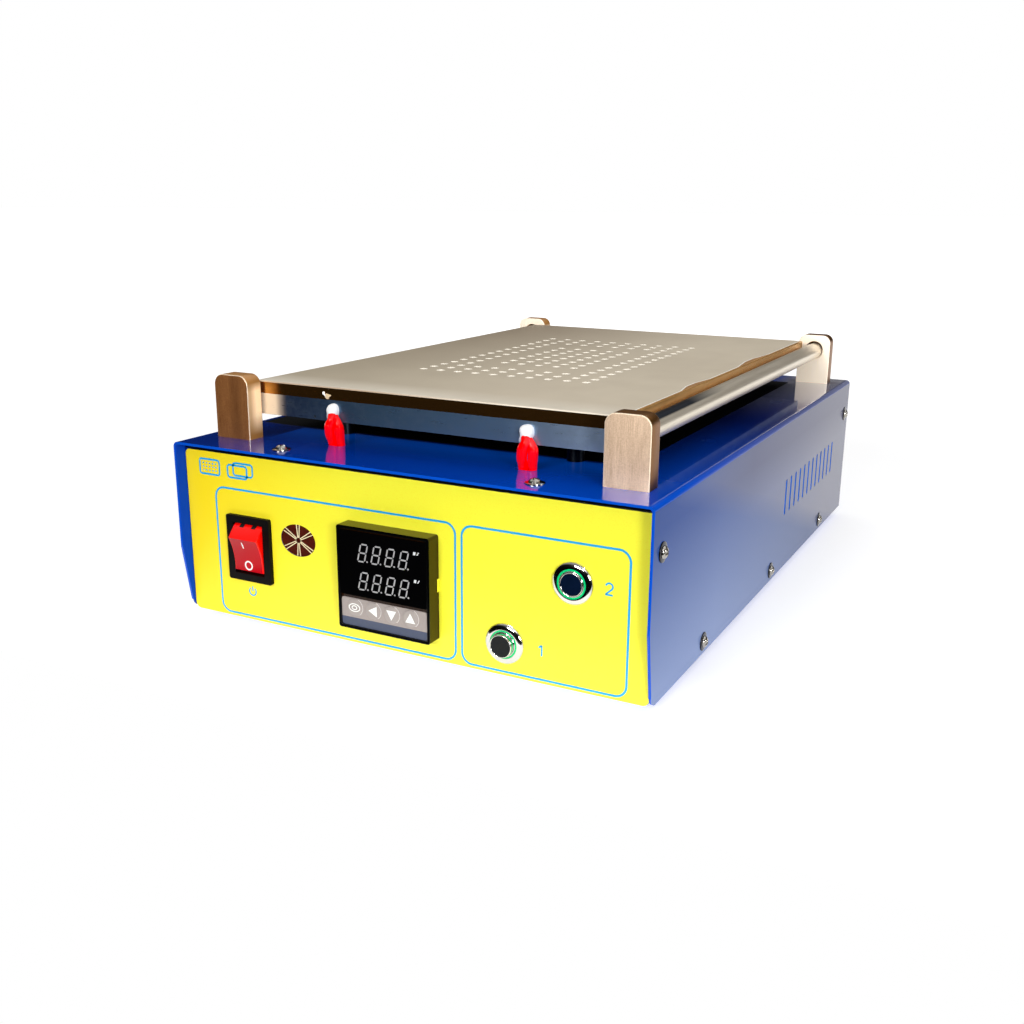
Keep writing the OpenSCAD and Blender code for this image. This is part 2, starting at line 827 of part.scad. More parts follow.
module thermocouple() {
    color("gray") at_case() {
        translate([couple_route[0][0], couple_route[0][1], block_z])
            cylinder(d = couple_tip_d, h = couple_tip_l);
        tube(couple_route, couple_steps, couple_sides, [1, 0, 0]);
    }
}

module vacuum_barb() {
    color("goldenrod") at_case() translate([0, plate_mid_y, 0]) difference() {
        union() {
            translate([0, 0, block_z]) cylinder(d = barb_thread, h = block_t - chamber_depth);
            translate([0, 0, block_z - barb_hex_h]) cylinder(d = barb_hex, h = barb_hex_h, $fn = 6);
            translate([0, 0, barb_end_z]) cylinder(d = nozzle_d, h = block_z - barb_hex_h - barb_end_z);
        }
        translate([0, 0, barb_end_z - over]) cylinder(d = hole_d, h = block_z + block_t - barb_end_z);
    }
}

module vacuum_hose() {
    color("whitesmoke") at_case() tube(hose_route, hose_steps, hose_sides, [1, 0, 0]);
}

// Corner posts and guide rods

// Runs its child at the foot of each post, y pointing along the rod
module post_at(side, end) {
    y = end < 0 ? post_front_y : post_rear_y;
    translate([side * post_x, y, case_h]) children();
}
module post_places() {
    for (side = [-1, 1], end = [-1, 1]) post_at(side, end) translate([0, post_t / 2, 0]) children();
}
module post_screw_places() {
    for (i = [-1, 1]) translate([i * post_screw_x, 0, 0]) children();
}

module post(side, end) {
    color("tan") at_case() post_at(side, end) difference() {
        translate([0, post_t, 0]) rotate([90, 0, 0]) linear_extrude(post_t)
            arch(post_w, post_h, post_r);
        translate([0, end < 0 ? post_t - rod_bore_depth : -over, rod_bore_z - case_h])
            rotate([-90, 0, 0]) cylinder(d = rod_bore, h = rod_bore_depth + over);
        translate([0, post_t / 2, -over]) post_screw_places()
            cylinder(d = screw_d + 2 * run, h = post_screw_depth + over);
    }
}

module guide_rod(side) {
    reach = rod_bore_depth - rod_play;
    start = post_front_y + post_t - reach;
    length = post_rear_y + reach - start;
    color("gainsboro") at_case() translate([side * post_x, start, rod_z]) rotate([-90, 0, 0]) {
        cylinder(d1 = rod_d - 2 * rod_edge, d2 = rod_d, h = rod_edge);
        translate([0, 0, rod_edge]) cylinder(d = rod_d, h = length - 2 * rod_edge);
        translate([0, 0, length - rod_edge])
            cylinder(d1 = rod_d, d2 = rod_d - 2 * rod_edge, h = rod_edge);
    }
}

// Temperature controller

module on_controller() {
    at_case() on_panel(ctl_x, ctl_z) children();
}
module key_places() {
    for (i = [0 : 3]) translate([key_first + i * key_pitch, key_row, 0]) children();
}

module controller_case() {
    face_z = ctl_proud - ctl_recess;
    inner = ctl_body - 2 * ctl_wall;
    color("black") on_controller() difference() {
        union() {
            linear_extrude(ctl_proud) rounded(ctl_size, ctl_size, ctl_corner);
            translate([0, 0, -ctl_depth]) box(ctl_body, ctl_body, ctl_depth + over);
        }
        translate([0, 0, face_z]) linear_extrude(ctl_recess + over)
            rounded(ctl_size - 2 * ctl_rim, ctl_size - 2 * ctl_rim, ctl_corner);
        translate([0, 0, -ctl_depth - over])
            box(inner, inner, ctl_depth + over + face_z - ctl_face);
        translate([0, lens_z, 0]) box(window_w, window_h, ctl_proud);
        key_places() cylinder(d = key_stem_d + 2 * key_clear, h = ctl_proud);
        key_places() translate([0, 0, face_z - key_travel])
            cylinder(d = key_d + 2 * key_clear, h = ctl_proud);
        translate([ctl_size / 2, notch_z, ctl_proud - notch_in - notch_depth])
            box(2 * notch_in, notch_h, notch_depth);
    }
}

module controller_lens() {
    color("darkslategray") on_controller()
        translate([0, lens_z, ctl_proud - ctl_recess]) linear_extrude(lens_t)
            rounded(insert_w, lens_h, ctl_corner);
}

module display_board() {
    color("darkgreen") on_controller() {
        translate([0, 0, board_z]) box(board_w, board_w, board_t);
        for (i = [-1, 1])
            translate([0, lens_z + i * led_row, board_z + board_t])
                box(led_w, led_h, ctl_proud - ctl_recess - board_z - board_t);
    }
}

module key_film() {
    color("lightgray") on_controller() difference() {
        translate([0, film_z, ctl_proud - ctl_recess]) linear_extrude(film_t)
            rounded(insert_w, film_h, ctl_corner);
        key_places() cylinder(d = key_d + 2 * key_clear, h = ctl_proud);
    }
}

module key(i) {
    face_z = ctl_proud - ctl_recess;
    color("white") on_controller() translate([key_first + i * key_pitch, key_row, 0]) {
        translate([0, 0, face_z]) cylinder(d = key_d, h = film_t + key_proud);
        translate([0, 0, face_z - key_stem_l]) cylinder(d = key_stem_d, h = key_stem_l);
    }
}

module controller_terminals() {
    inner = ctl_body - 2 * ctl_wall - 2 * run;
    color("dimgray") on_controller() translate([0, 0, -ctl_depth]) difference() {
        translate([0, 0, -terminal_depth / 3]) box(inner, inner, terminal_depth);
        for (row = [-1, 1], i = [0 : terminal_count - 1])
            translate([(i - (terminal_count - 1) / 2) * block_pitch, row * ctl_body / 3,
                -terminal_depth / 3 - over])
                cylinder(d = small_screw_d, h = terminal_depth / 2 + over);
    }
}

module controller_bracket() {
    outer = ctl_body + 2 * bracket_wall;
    color("goldenrod") on_controller() difference() {
        translate([0, 0, -overlay_t - sheet_t - bracket_depth]) union() {
            box(outer, outer, bracket_depth);
            for (i = [-1, 1]) translate([i * (outer / 2 + bracket_gap), 0, 0])
                box(2 * bracket_gap, jack_offset, bracket_depth);
        }
        translate([0, 0, -overlay_t - sheet_t - bracket_depth - over])
            box(ctl_body + 2 * run, ctl_body + 2 * run, bracket_depth + 2 * over);
        for (i = [-1, 1])
            translate([i * (outer / 2 + bracket_gap), 0, -overlay_t - sheet_t - bracket_depth - over])
                cylinder(d = jack_d, h = bracket_depth + 2 * over);
    }
}

// Power switch

module on_switch() {
    at_case() on_panel(switch_x, switch_z) children();
}

module switch_housing() {
    well_w = rocker_w + 2 * rocker_gap;
    color("black") on_switch() difference() {
        union() {
            linear_extrude(switch_bezel_t) rounded(switch_w, switch_h, switch_corner);
            translate([0, 0, -switch_depth]) box(switch_body_w, switch_body_h, switch_depth + over);
        }
        box(well_w, rocker_window_h, switch_bezel_t + over);
        translate([0, 0, -pivot_depth - rocker_well])
            box(well_w, switch_body_h - 2 * switch_wall, pivot_depth + rocker_well + run);
        translate([-well_w / 2 - trunnion_l - run, 0, -pivot_depth]) rotate([0, 90, 0])
            cylinder(d = trunnion_d + 2 * run, h = well_w + 2 * trunnion_l + 2 * run);
    }
}

// The rocker's side view: a hollowed face between two ridges, over a round skirt
module rocker_profile() {
    end_x = sqrt(pow(rocker_r, 2) - pow(rocker_end_z, 2));
    face_r = (pow(rocker_ridge_x, 2) + pow(rocker_sag, 2)) / (2 * rocker_sag);
    difference() {
        polygon([[-end_x, rocker_end_z], [-rocker_ridge_x, rocker_ridge_z],
            [rocker_ridge_x, rocker_ridge_z], [end_x, rocker_end_z]]);
        translate([0, rocker_ridge_z - rocker_sag + face_r]) circle(r = face_r, $fn = 96);
    }
    intersection() {
        circle(r = rocker_r);
        translate([-rocker_r, -rocker_foot])
            square([2 * rocker_r, rocker_foot + rocker_end_z]);
    }
}

module power_rocker() {
    color("red") on_switch() translate([0, 0, -pivot_depth]) rotate([rocker_tilt, 0, 0]) {
        translate([-rocker_w / 2, 0, 0]) rotate([90, 0, 90]) linear_extrude(rocker_w)
            rocker_profile();
        translate([-rocker_w / 2 - trunnion_l, 0, 0]) rotate([0, 90, 0])
            cylinder(d = trunnion_d, h = rocker_w + 2 * trunnion_l);
    }
}

module switch_tabs() {
    color("silver") on_switch() for (i = [-1, 1], j = [-1, 1])
        translate([i * tab_pitch_x / 2, j * tab_pitch_z / 2, -switch_depth - tab_l])
            box(tab_w, tab_t, tab_l);
}

// Push buttons

module on_button(i) {
    at_case() on_panel(button_places[i][0], button_places[i][1]) children();
}

module button_housings() {
    color("silver") for (i = [0, 1]) on_button(i) difference() {
        union() {
            cylinder(d = button_d, h = bezel_t - bezel_bevel);
            translate([0, 0, bezel_t - bezel_bevel])
                cylinder(d1 = button_d, d2 = button_d - 4 * bezel_bevel, h = bezel_bevel);
            translate([0, 0, -barrel_l]) cylinder(d = thread_d, h = barrel_l);
        }
        difference() {
            translate([0, 0, bezel_t - ring_depth]) cylinder(d = ring_outer, h = ring_depth + over);
            translate([0, 0, bezel_t - ring_depth - over])
                cylinder(d = ring_inner, h = ring_depth + 3 * over);
        }
        translate([0, 0, bezel_t - cap_well]) cylinder(d = cap_d + 2 * run, h = cap_well + over);
    }
}

module button_rings() {
    color("limegreen") for (i = [0, 1]) on_button(i) translate([0, 0, bezel_t - ring_depth])
        difference() {
            cylinder(d = ring_outer - 2 * run, h = ring_depth);
            translate([0, 0, -over]) cylinder(d = ring_inner + 2 * run, h = ring_depth + 2 * over);
        }
}

module button_cap(i, proud) {
    color("black") on_button(i) translate([0, 0, bezel_t + proud - cap_l]) {
        cylinder(d = cap_d, h = cap_l - cap_edge);
        translate([0, 0, cap_l - cap_edge])
            cylinder(d1 = cap_d, d2 = cap_d - 2 * cap_edge, h = cap_edge);
    }
}

module button_nuts() {
    color("silver") for (i = [0, 1]) on_button(i)
        translate([0, 0, -overlay_t - sheet_t - nut_t]) difference() {
            cylinder(d = nut_flats / cos(30), h = nut_t, $fn = 6);
            translate([0, 0, -over]) cylinder(d = thread_d + 2 * run, h = nut_t + 2 * over);
        }
}

// Buzzer and grille

module buzzer_grille() {
    back_z = -overlay_t - sheet_t;
    color("beige") at_case() on_panel(grille_x, grille_z) {
        translate([0, 0, back_z - grille_back]) linear_extrude(grille_back) difference() {
            oval(grille_w + 2 * grille_rim, grille_h + 2 * grille_rim);
            oval(grille_w - 2 * run, grille_h - 2 * run);
        }
        translate([0, 0, back_z - grille_back]) linear_extrude(grille_back + sheet_t + overlay_t / 2)
            intersection() {
                oval(grille_w - 2 * run, grille_h - 2 * run);
                union() {
                    circle(r = hub_r);
                    for (i = [0 : spoke_count - 1], j = [-1, 1])
                        rotate([0, 0, 90 + i * 360 / spoke_count + j * spoke_splay])
                            translate([0, j * spoke_gap - spoke_w / 2])
                                square([grille_w, spoke_w]);
                }
            }
        translate([0, 0, back_z - grille_back]) linear_extrude(grille_back) difference() {
            oval(grille_w, grille_h);
            oval(grille_w - 4 * spoke_w, grille_h - 4 * spoke_w);
        }
    }
}

module buzzer() {
    back_z = -overlay_t - sheet_t - grille_back;
    color("maroon") at_case() on_panel(grille_x, grille_z) difference() {
        translate([0, 0, back_z - buzzer_l]) cylinder(d = buzzer_d, h = buzzer_l);
        translate([0, 0, back_z - buzzer_l / 2]) cylinder(d = buzzer_port_d, h = buzzer_l);
    }
}

// Relay, power supply and terminal strip

module relay_heatsink() {
    color("silver") at_case() translate([relay_x, relay_y, sheet_t]) {
        translate([0, 0, sink_h - sink_base]) box(sink_w, sink_l, sink_base);
        for (i = [0 : fin_count - 1])
            translate([(sink_w - fin_t) * (i / (fin_count - 1) - 1 / 2), 0, 0])
                box(fin_t, sink_l, sink_h);
    }
}

module relay() {
    color("ivory") at_case() translate([relay_x, relay_y, sheet_t + sink_h]) difference() {
        box(relay_w, relay_l, relay_h);
        for (i = [-1, 1])
            translate([0, i * relay_l / 2, -over])
                cylinder(d = relay_ear, h = relay_h + 2 * over);
        for (i = [-1, 1], j = [-1, 1])
            translate([i * relay_w / 4, j * relay_l / 3, relay_h - relay_ear])
                cylinder(d = relay_ear, h = relay_ear + over);
    }
}

// Open frame: a floor plate and one side wall that carry the board
module power_supply() {
    color("lightgray") at_case() translate([psu_x, psu_y, sheet_t]) {
        box(psu_w, psu_l, psu_wall);
        translate([-psu_w / 2, -psu_l / 2, 0]) cube([psu_wall, psu_l, psu_h]);
    }
}

module power_supply_board() {
    deck_z = sheet_t + psu_wall + psu_post;
    inner_w = psu_w - 2 * psu_wall - psu_margin;
    inner_l = psu_l - 2 * psu_wall - psu_margin;
    color("darkgreen") at_case() translate([psu_x, psu_y, 0]) {
        for (i = [-1, 1], j = [-1, 1])
            translate([i * (inner_w / 2 - psu_post), j * (inner_l / 2 - psu_post), sheet_t + psu_wall])
                cylinder(d = psu_post, h = psu_post);
        translate([0, 0, deck_z]) box(inner_w, inner_l, psu_board_t);
        translate([psu_w / 5, 0, deck_z + psu_board_t]) cylinder(d = psu_coil_d, h = psu_coil_h);
        for (j = [-1, 1])
            translate([-psu_w / 5, j * psu_l / 4, deck_z + psu_board_t])
                cylinder(d = psu_cap_d, h = psu_cap_h);
    }
}

module terminal_strip() {
    way = strip_w / strip_ways;
    color("saddlebrown") at_case() translate([0, strip_y, sheet_t]) {
        difference() {
            box(strip_w, strip_d, strip_h);
            for (i = [0 : strip_ways - 1])
                translate([(i - (strip_ways - 1) / 2) * way, 0, strip_h / 2])
                    box(way - 2 * strip_wall, strip_d - 2 * strip_wall, strip_h);
        }
        for (i = [0 : strip_ways - 1])
            translate([(i - (strip_ways - 1) / 2) * way, 0, strip_h / 2])
                cylinder(d = strip_screw_d, h = strip_h / 4);
    }
}

module mains_wires() {
    color("brown") at_case() for (i = [0, 1])
        tube([for (p = mains_route) [p[0], p[1], p[2] - i * mains_spread, p[3]]],
            mains_steps, mains_sides, [0, 0, 1]);
}

// Vacuum pump

module at_pump() {
    at_case() translate([pump_x, pump_y, 0]) children();
}

module pump_bracket() {
    base_z = sheet_t + pump_foot_h;
    color("silver") at_pump() {
        translate([0, pump_base_l / 2, base_z]) box(pump_base_w, pump_base_l, pump_plate_t);
        difference() {
            translate([-pump_head_w / 2, pump_head_l, base_z])
                cube([pump_head_w, pump_plate_t, pump_axis_z + motor_d / 2 - base_z]);
            translate([0, pump_head_l - over, pump_axis_z]) rotate([-90, 0, 0])
                cylinder(d = boss_d + 2 * run, h = pump_plate_t + 2 * over);
        }
    }
}

module pump_feet() {
    color("black") at_pump() for (i = [-1, 1], j = [0, 1])
        translate([i * (pump_base_w - pump_foot_d) / 2,
            pump_foot_d / 2 + j * (pump_base_l - pump_foot_d), sheet_t])
            cylinder(d = pump_foot_d, h = pump_foot_h);
}

module pump_motor() {
    start = pump_head_l + pump_plate_t;
    color("silver") at_pump() translate([0, start, pump_axis_z]) rotate([-90, 0, 0]) difference() {
        union() {
            cylinder(d = motor_d, h = motor_l);
            translate([0, 0, -pump_plate_t]) cylinder(d = boss_d, h = pump_plate_t);
        }
        translate([0, 0, -pump_plate_t - over])
            cylinder(d = shaft_d + 2 * run, h = motor_l - motor_wall + pump_plate_t + over);
    }
}

module pump_head() {
    head_h = pump_chamber_d + 2 * pump_head_wall;
    color("darkslategray") at_pump() difference() {
        translate([-pump_head_w / 2, 0, pump_axis_z - head_h / 2])
            cube([pump_head_w, pump_head_l, head_h]);
        translate([0, pump_head_l - pump_chamber_l, pump_axis_z]) rotate([-90, 0, 0])
            cylinder(d = pump_chamber_d, h = pump_chamber_l + over);
    }
}

module pump_shaft() {
    start = pump_head_l - pump_chamber_l / 2 - throw_l / 2;
    color("silver") at_pump() translate([0, start, pump_axis_z]) rotate([-90, 0, 0]) {
        cylinder(d = shaft_d, h = pump_head_l - start + pump_plate_t + motor_l - 2 * motor_wall);
        translate([0, -throw, 0]) cylinder(d = throw_d, h = throw_l);
    }
}

module pump_cap() {
    seam_z = pump_axis_z + pump_chamber_d / 2 + pump_head_wall;
    color("whitesmoke") at_pump() {
        translate([-pump_head_w / 2, 0, seam_z]) cube([pump_head_w, pump_head_l, pump_cap_h]);
        for (i = [-1, 1])
            translate([i * nozzle_x, 0, seam_z + nozzle_rise]) rotate([90, 0, 0])
                cylinder(d = nozzle_d, h = nozzle_l);
    }
}

// Power inlet

module on_inlet() {
    at_case() on_rear(inlet_x, inlet_z) children();
}

module inlet() {
    color("black") on_inlet() difference() {
        union() {
            linear_extrude(inlet_flange_t) rounded(inlet_flange_w, inlet_flange_h, inlet_corner);
            translate([0, 0, -inlet_body_l]) box(inlet_body_w, inlet_body_h, inlet_body_l + over);
        }
        difference() {
            translate([0, socket_z, inlet_flange_t - socket_depth])
                box(socket_w, socket_h, socket_depth + over);
            for (i = [-1, 1])
                translate([i * socket_w / 2, socket_z + socket_h / 2, -socket_depth])
                    rotate([0, 0, 45])
                        box(socket_chamfer, socket_chamfer, 2 * socket_depth);
        }
        translate([0, drawer_z, -drawer_l - 2 * over])
            box(drawer_w + 2 * fit, drawer_h + 2 * fit, drawer_l + 2 * over + inlet_flange_t + over);
        for (i = [-1, 1])
            translate([i * inlet_screw_pitch / 2, 0, -over])
                cylinder(d = small_screw_d + 2 * fit, h = inlet_flange_t + 2 * over);
    }
}

module inlet_pins() {
    color("silver") on_inlet() for (i = [-1, 0, 1])
        translate([i * prong_x, socket_z + (i == 0 ? prong_rise : -prong_rise),
            inlet_flange_t - socket_depth])
            box(prong_w, prong_h, prong_l);
}

module fuse_drawer() {
    color("black") on_inlet() translate([0, drawer_z, 0]) difference() {
        union() {
            translate([0, 0, -drawer_l]) box(drawer_w, drawer_h, drawer_l + inlet_flange_t);
            translate([0, 0, inlet_flange_t + run]) box(drawer_w, drawer_h - drawer_lip / 2, drawer_lip);
            translate([0, 0, inlet_flange_t - over])
                box(drawer_w / 2, drawer_h - drawer_lip, 2 * drawer_lip);
        }
        translate([0, drawer_wall, -drawer_l + drawer_wall])
            box(drawer_w - 2 * drawer_wall, drawer_h, drawer_l - 2 * drawer_wall);
    }
}

module fuse() {
    color("lightblue") on_inlet()
        translate([-fuse_l / 2, drawer_z - drawer_h / 2 + drawer_wall + fuse_d / 2, -drawer_l / 2])
            rotate([0, 90, 0]) cylinder(d = fuse_d, h = fuse_l);
}

chassis();
front_overlay();
top_cover();
cover_screws();
rubber_feet();
small_screws();
vacuum_plate();
heater_block();
plate_screws();
plate_pillars();
upright_screws();
heater_cartridges();
sealant_plugs();
heater_leads();
lead_bushings();
thermocouple();
vacuum_barb();
vacuum_hose();
post(-1, -1);  // post_front_left
post(1, -1);  // post_front_right
post(-1, 1);  // post_rear_left
post(1, 1);  // post_rear_right
guide_rod(-1);  // guide_rod_left
guide_rod(1);  // guide_rod_right
controller_case();
controller_lens();
display_board();
key_film();
key(0);  // key_set
key(1);  // key_shift
key(2);  // key_down
key(3);  // key_up
controller_terminals();
controller_bracket();
switch_housing();
power_rocker();
switch_tabs();
button_housings();
button_rings();
button_cap(0, button_out);  // button_1_cap
button_cap(1, button_latched);  // button_2_cap
button_nuts();
buzzer_grille();
buzzer();
relay();
relay_heatsink();
power_supply();
power_supply_board();
terminal_strip();
mains_wires();
pump_bracket();
pump_feet();
pump_motor();
pump_head();
pump_shaft();
pump_cap();
inlet();
inlet_pins();
fuse_drawer();
fuse();
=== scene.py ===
# %% [markdown]
# # Dressing a vacuum separator for phone screens
# The machine is a folded steel case in blue paint with a yellow front panel. A heated
# suction plate lies on top between two steel rods, and repairers draw a cutting wire
# along those rods to part a cracked glass from its display. The measured model comes
# first, as a frame that nothing here stretches or moves. This file gives that frame
# its finishes, and adds the pieces that are too fine or too round for plain solids.

# %% Load the measured frame
import math
import bpy
import numpy as np
from mathutils import Matrix, Vector


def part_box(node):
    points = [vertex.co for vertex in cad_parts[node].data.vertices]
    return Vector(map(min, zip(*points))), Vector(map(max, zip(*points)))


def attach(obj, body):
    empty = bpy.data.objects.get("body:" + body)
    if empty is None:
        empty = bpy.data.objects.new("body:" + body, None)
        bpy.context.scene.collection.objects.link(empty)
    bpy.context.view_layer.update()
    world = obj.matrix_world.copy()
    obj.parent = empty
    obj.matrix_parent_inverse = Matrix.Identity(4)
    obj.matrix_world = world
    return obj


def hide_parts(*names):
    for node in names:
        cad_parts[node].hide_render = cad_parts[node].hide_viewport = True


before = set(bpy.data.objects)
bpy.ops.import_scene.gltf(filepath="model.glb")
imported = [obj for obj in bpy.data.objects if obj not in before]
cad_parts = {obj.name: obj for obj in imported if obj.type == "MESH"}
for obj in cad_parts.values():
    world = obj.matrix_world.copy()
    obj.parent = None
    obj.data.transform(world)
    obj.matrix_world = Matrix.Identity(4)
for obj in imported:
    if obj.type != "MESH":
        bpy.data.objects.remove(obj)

scene = bpy.context.scene
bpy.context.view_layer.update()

# %% [markdown]
# ## Places on the case
# A maker measures a front panel from its own face, from the middle of its width and from
# the underside of the case. The same three numbers, in millimetres, are used here, so a
# drawing of the panel can be read straight into the code. They become the frame's metres
# when a mesh is made.

# %% The case's zero
panel_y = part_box("front_overlay")[0].y
case_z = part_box("chassis")[0].z
case_zero = np.array([0, panel_y, case_z])
cover_top = (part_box("top_cover")[1].z - case_z) * 1000
case_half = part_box("top_cover")[1].x * 1000


def case_box(node):
    """A node's lowest and highest corners, in the case's millimetres."""
    return ((np.array([list(corner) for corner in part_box(node)]) - case_zero) * 1000).tolist()


print("the cover's top lies", round(cover_top, 2), "mm above the case's underside")

# %% [markdown]
# ## The camera
# The photograph was taken from the right of the front, a little above the plate, a long
# way off and with a normal lens, so the far edges shrink only gently. Three angles and a
# place, fitted to the corners of the case, give the same view.

# %% The camera
azimuth, elevation, roll = (math.radians(angle) for angle in (27.563, 15.553, 0.445))
camera_data = bpy.data.cameras.new("camera")
camera_data.lens = 38.68
camera_data.sensor_width = 36
camera_data.clip_start = 0.01
camera = bpy.data.objects.new("camera", camera_data)
camera.matrix_world = (Matrix.Translation((0.2576, -0.5579, 0.1986)) @ Matrix.Rotation(azimuth, 4, "Z")
                       @ Matrix.Rotation(math.pi / 2 - elevation, 4, "X") @ Matrix.Rotation(roll, 4, "Z"))
scene.collection.objects.link(camera)
scene.camera = camera
scene.view_settings.view_transform = "Standard"
print("the camera stands", round(math.dist(camera.location, (0, 0, 0.05)), 2), "m away")

# %% [markdown]
# ## Writing shaders as sums
# A finish is a small calculation made at every point of a surface. Blender draws it as
# boxes and wires, which soon hides the thought. A wrapped socket that knows the plus,
# minus and times signs lets the same calculation be read as a line of arithmetic, and
# the boxes are added as the line runs. A finish is made with the names of the frame's
# solids that wear it, whose meshes stay as they are.


# %% A socket that the signs of arithmetic work on
def sign(operation, mirrored=False):
    """The method for one sign; mirrored is for a socket that stands to the sign's right."""
    def method(wire, other):
        return wire.math(operation, *((other, wire) if mirrored else (wire, other)))
    return method


class Wire:
    """An output socket. Each sign of arithmetic used on it adds one Math node."""

    __add__, __radd__ = sign("ADD"), sign("ADD", True)
    __sub__, __rsub__ = sign("SUBTRACT"), sign("SUBTRACT", True)
    __mul__, __rmul__ = sign("MULTIPLY"), sign("MULTIPLY", True)
    __gt__, __lt__ = sign("GREATER_THAN"), sign("LESS_THAN")

    def __init__(self, graph, socket):
        self.graph = graph
        self.socket = socket

    def math(self, operation, *values):
        return self.graph.node("ShaderNodeMath", {"operation": operation}, dict(enumerate(values)))

    def size(self):
        """The number without its minus sign."""
        return self.math("ABSOLUTE", self)

    def at_least(self, other):
        """The larger of two numbers."""
        return self.math("MAXIMUM", self, other)

    def step(self, low, high):
        """0 below low, 1 above high, and a straight slope between them."""
        span = {"Value": self, "From Min": low, "From Max": high}
        return self.graph.node("ShaderNodeMapRange", {"clamp": True}, span)


def ink(red, green, blue):
    """A colour as a screen shows it, 0 to 255, turned into light."""
    share = np.array([red, green, blue]) / 255
    light = np.where(share > 0.04045, ((share + 0.055) / 1.055) ** 2.4, share / 12.92)
    return (*light.tolist(), 1)


print("the panel's yellow is", [round(share, 2) for share in ink(255, 238, 40)[:3]])


# %% A tree of nodes
class Graph:
    """A tree of nodes, of the world or of a material."""

    def __init__(self, tree):
        self.tree = tree

    def node(self, kind, settings=None, sockets=None, out=0):
        """Adds a node: its settings first, then the values or links of its sockets."""
        node = self.tree.nodes.new(kind)
        for title, value in (settings or {}).items():
            if title == "stops":
                self.set_stops(node.color_ramp.elements, value)
            else:
                setattr(node, title, value)
        for title, value in (sockets or {}).items():
            if isinstance(value, Wire):
                self.tree.links.new(value.socket, node.inputs[title])
            else:
                node.inputs[title].default_value = value
        return Wire(self, node.outputs[out])

    def set_stops(self, elements, stops):
        """A new ramp already has two stops; the others are added."""
        for number, (place, colour) in enumerate(stops):
            stop = elements[number] if number < len(elements) else elements.new(place)
            stop.position = place
            stop.color = colour

    def mix(self, share, first, second):
        """The first colour where share is 0, the second where it is 1. Three numbers are ink."""
        first, second = (ink(*colour) if isinstance(colour, tuple) and len(colour) == 3 else colour
                         for colour in (first, second))
        return self.node("ShaderNodeMix", {"data_type": "RGBA"}, {"Factor": share, 6: first, 7: second}, 2)

    def layers(self, colour, *coats):
        """Lays colours over a first one, each as strongly as the share before it says."""
        for share, coat in coats:
            colour = self.mix(share, colour, coat)
        return colour


finishes = {}


class Finish(Graph):
    """A material with one main shader, given to the solids in a list of names. Constants go
    straight on the shader's sockets."""

    def __init__(self, name, solids="", **constants):
        finishes[name] = bpy.data.materials.new(name)
        finishes[name].use_nodes = True
        super().__init__(finishes[name].node_tree)
        self.shader = self.tree.nodes["Principled BSDF"]
        for solid in solids.split():
            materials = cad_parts[solid].data.materials
            materials.clear()
            materials.append(finishes[name])
        for title, value in constants.items():
            self.shader.inputs[title.replace("_", " ")].default_value = value

    def use(self, **wires):
        """Feeds wires into the shader's sockets."""
        for title, wire in wires.items():
            self.tree.links.new(wire.socket, self.shader.inputs[title.replace("_", " ")])

    def place(self, stretch=(1, 1, 1)):
        """The point's place on the object, each axis stretched."""
        point = self.node("ShaderNodeTexCoord", out="Object")
        return self.node("ShaderNodeMapping", None, {"Vector": point, "Scale": stretch})

    def axes(self):
        """The point's distances along the three axes, in metres."""
        return [self.node("ShaderNodeSeparateXYZ", None, {0: self.place()}, axis) for axis in "XYZ"]

    def case_axes(self):
        """Across, depth and height on the case, in millimetres."""
        x, y, z = self.axes()
        return x * 1000, (y - panel_y) * 1000, (z - case_z) * 1000

    def noise(self, scale, detail=2, rough=0.5, stretch=(1, 1, 1)):
        """Cloudy numbers round 0.5, scale lumps to a metre."""
        sockets = {"Vector": self.place(stretch), "Scale": scale, "Detail": detail, "Roughness": rough}
        return self.node("ShaderNodeTexNoise", None, sockets)

    def bump(self, height, depth):
        """Turns heights into a tilt of the surface; depth is in micrometres."""
        self.use(Normal=self.node("ShaderNodeBump", None, {"Height": height, "Distance": depth * 1e-6}))


print("a finish can", [name for name in vars(Finish) if name.islower() and name[0] != "_"])

# %% [markdown]
# ## The studio
# A product is shot on a white paper sweep that ends a hand before the tripod. Beyond its
# front edge the room is dark, and that is what the lens, the milled block and the button
# rims show. The sheet is given a painted glow, an emission that lightens the shadows on
# it; the glow is strongest far off and in front of the panel. The world is bright
# overhead and dim at the horizon, which gives the glossy top its deep navy, and the
# camera itself sees plain white there. Five soft boxes stand where the photograph's
# bright patches ask for them.

# %% The floor
floor_mesh = bpy.data.meshes.new("floor")
floor_corners = [(-30, -0.25, 0), (30, -0.25, 0), (30, 30, 0), (-30, 30, 0)]
floor_mesh.from_pydata(floor_corners, [], [(0, 1, 2, 3)])
floor = bpy.data.objects.new("floor", floor_mesh)
scene.collection.objects.link(floor)
paper = Finish("paper_sweep", Roughness=0.9, Specular_IOR_Level=0.0, Emission_Strength=1.0)
x, y, z = paper.axes()
# Painted light: the sheet's emission lightens the shadows on it, most of all far off and in front of the
# panel.
before_panel = (1 - y.step(-0.18, -0.12)) * (1 - x.step(0.1, 0.16))
glow = (x * x + y * y).step(0.15, 1.5).at_least(0.7 * before_panel)
paper.use(Emission_Color=paper.mix(glow, (0.5, 0.5, 0.5, 1), (0.92, 0.92, 0.92, 1)))
paper.use(Base_Color=paper.mix(paper.noise(900), (204, 204, 204), (210, 210, 210)))
floor_mesh.materials.append(finishes["paper_sweep"])
print("the sweep ends", -floor_corners[0][1], "m before the machine's middle")

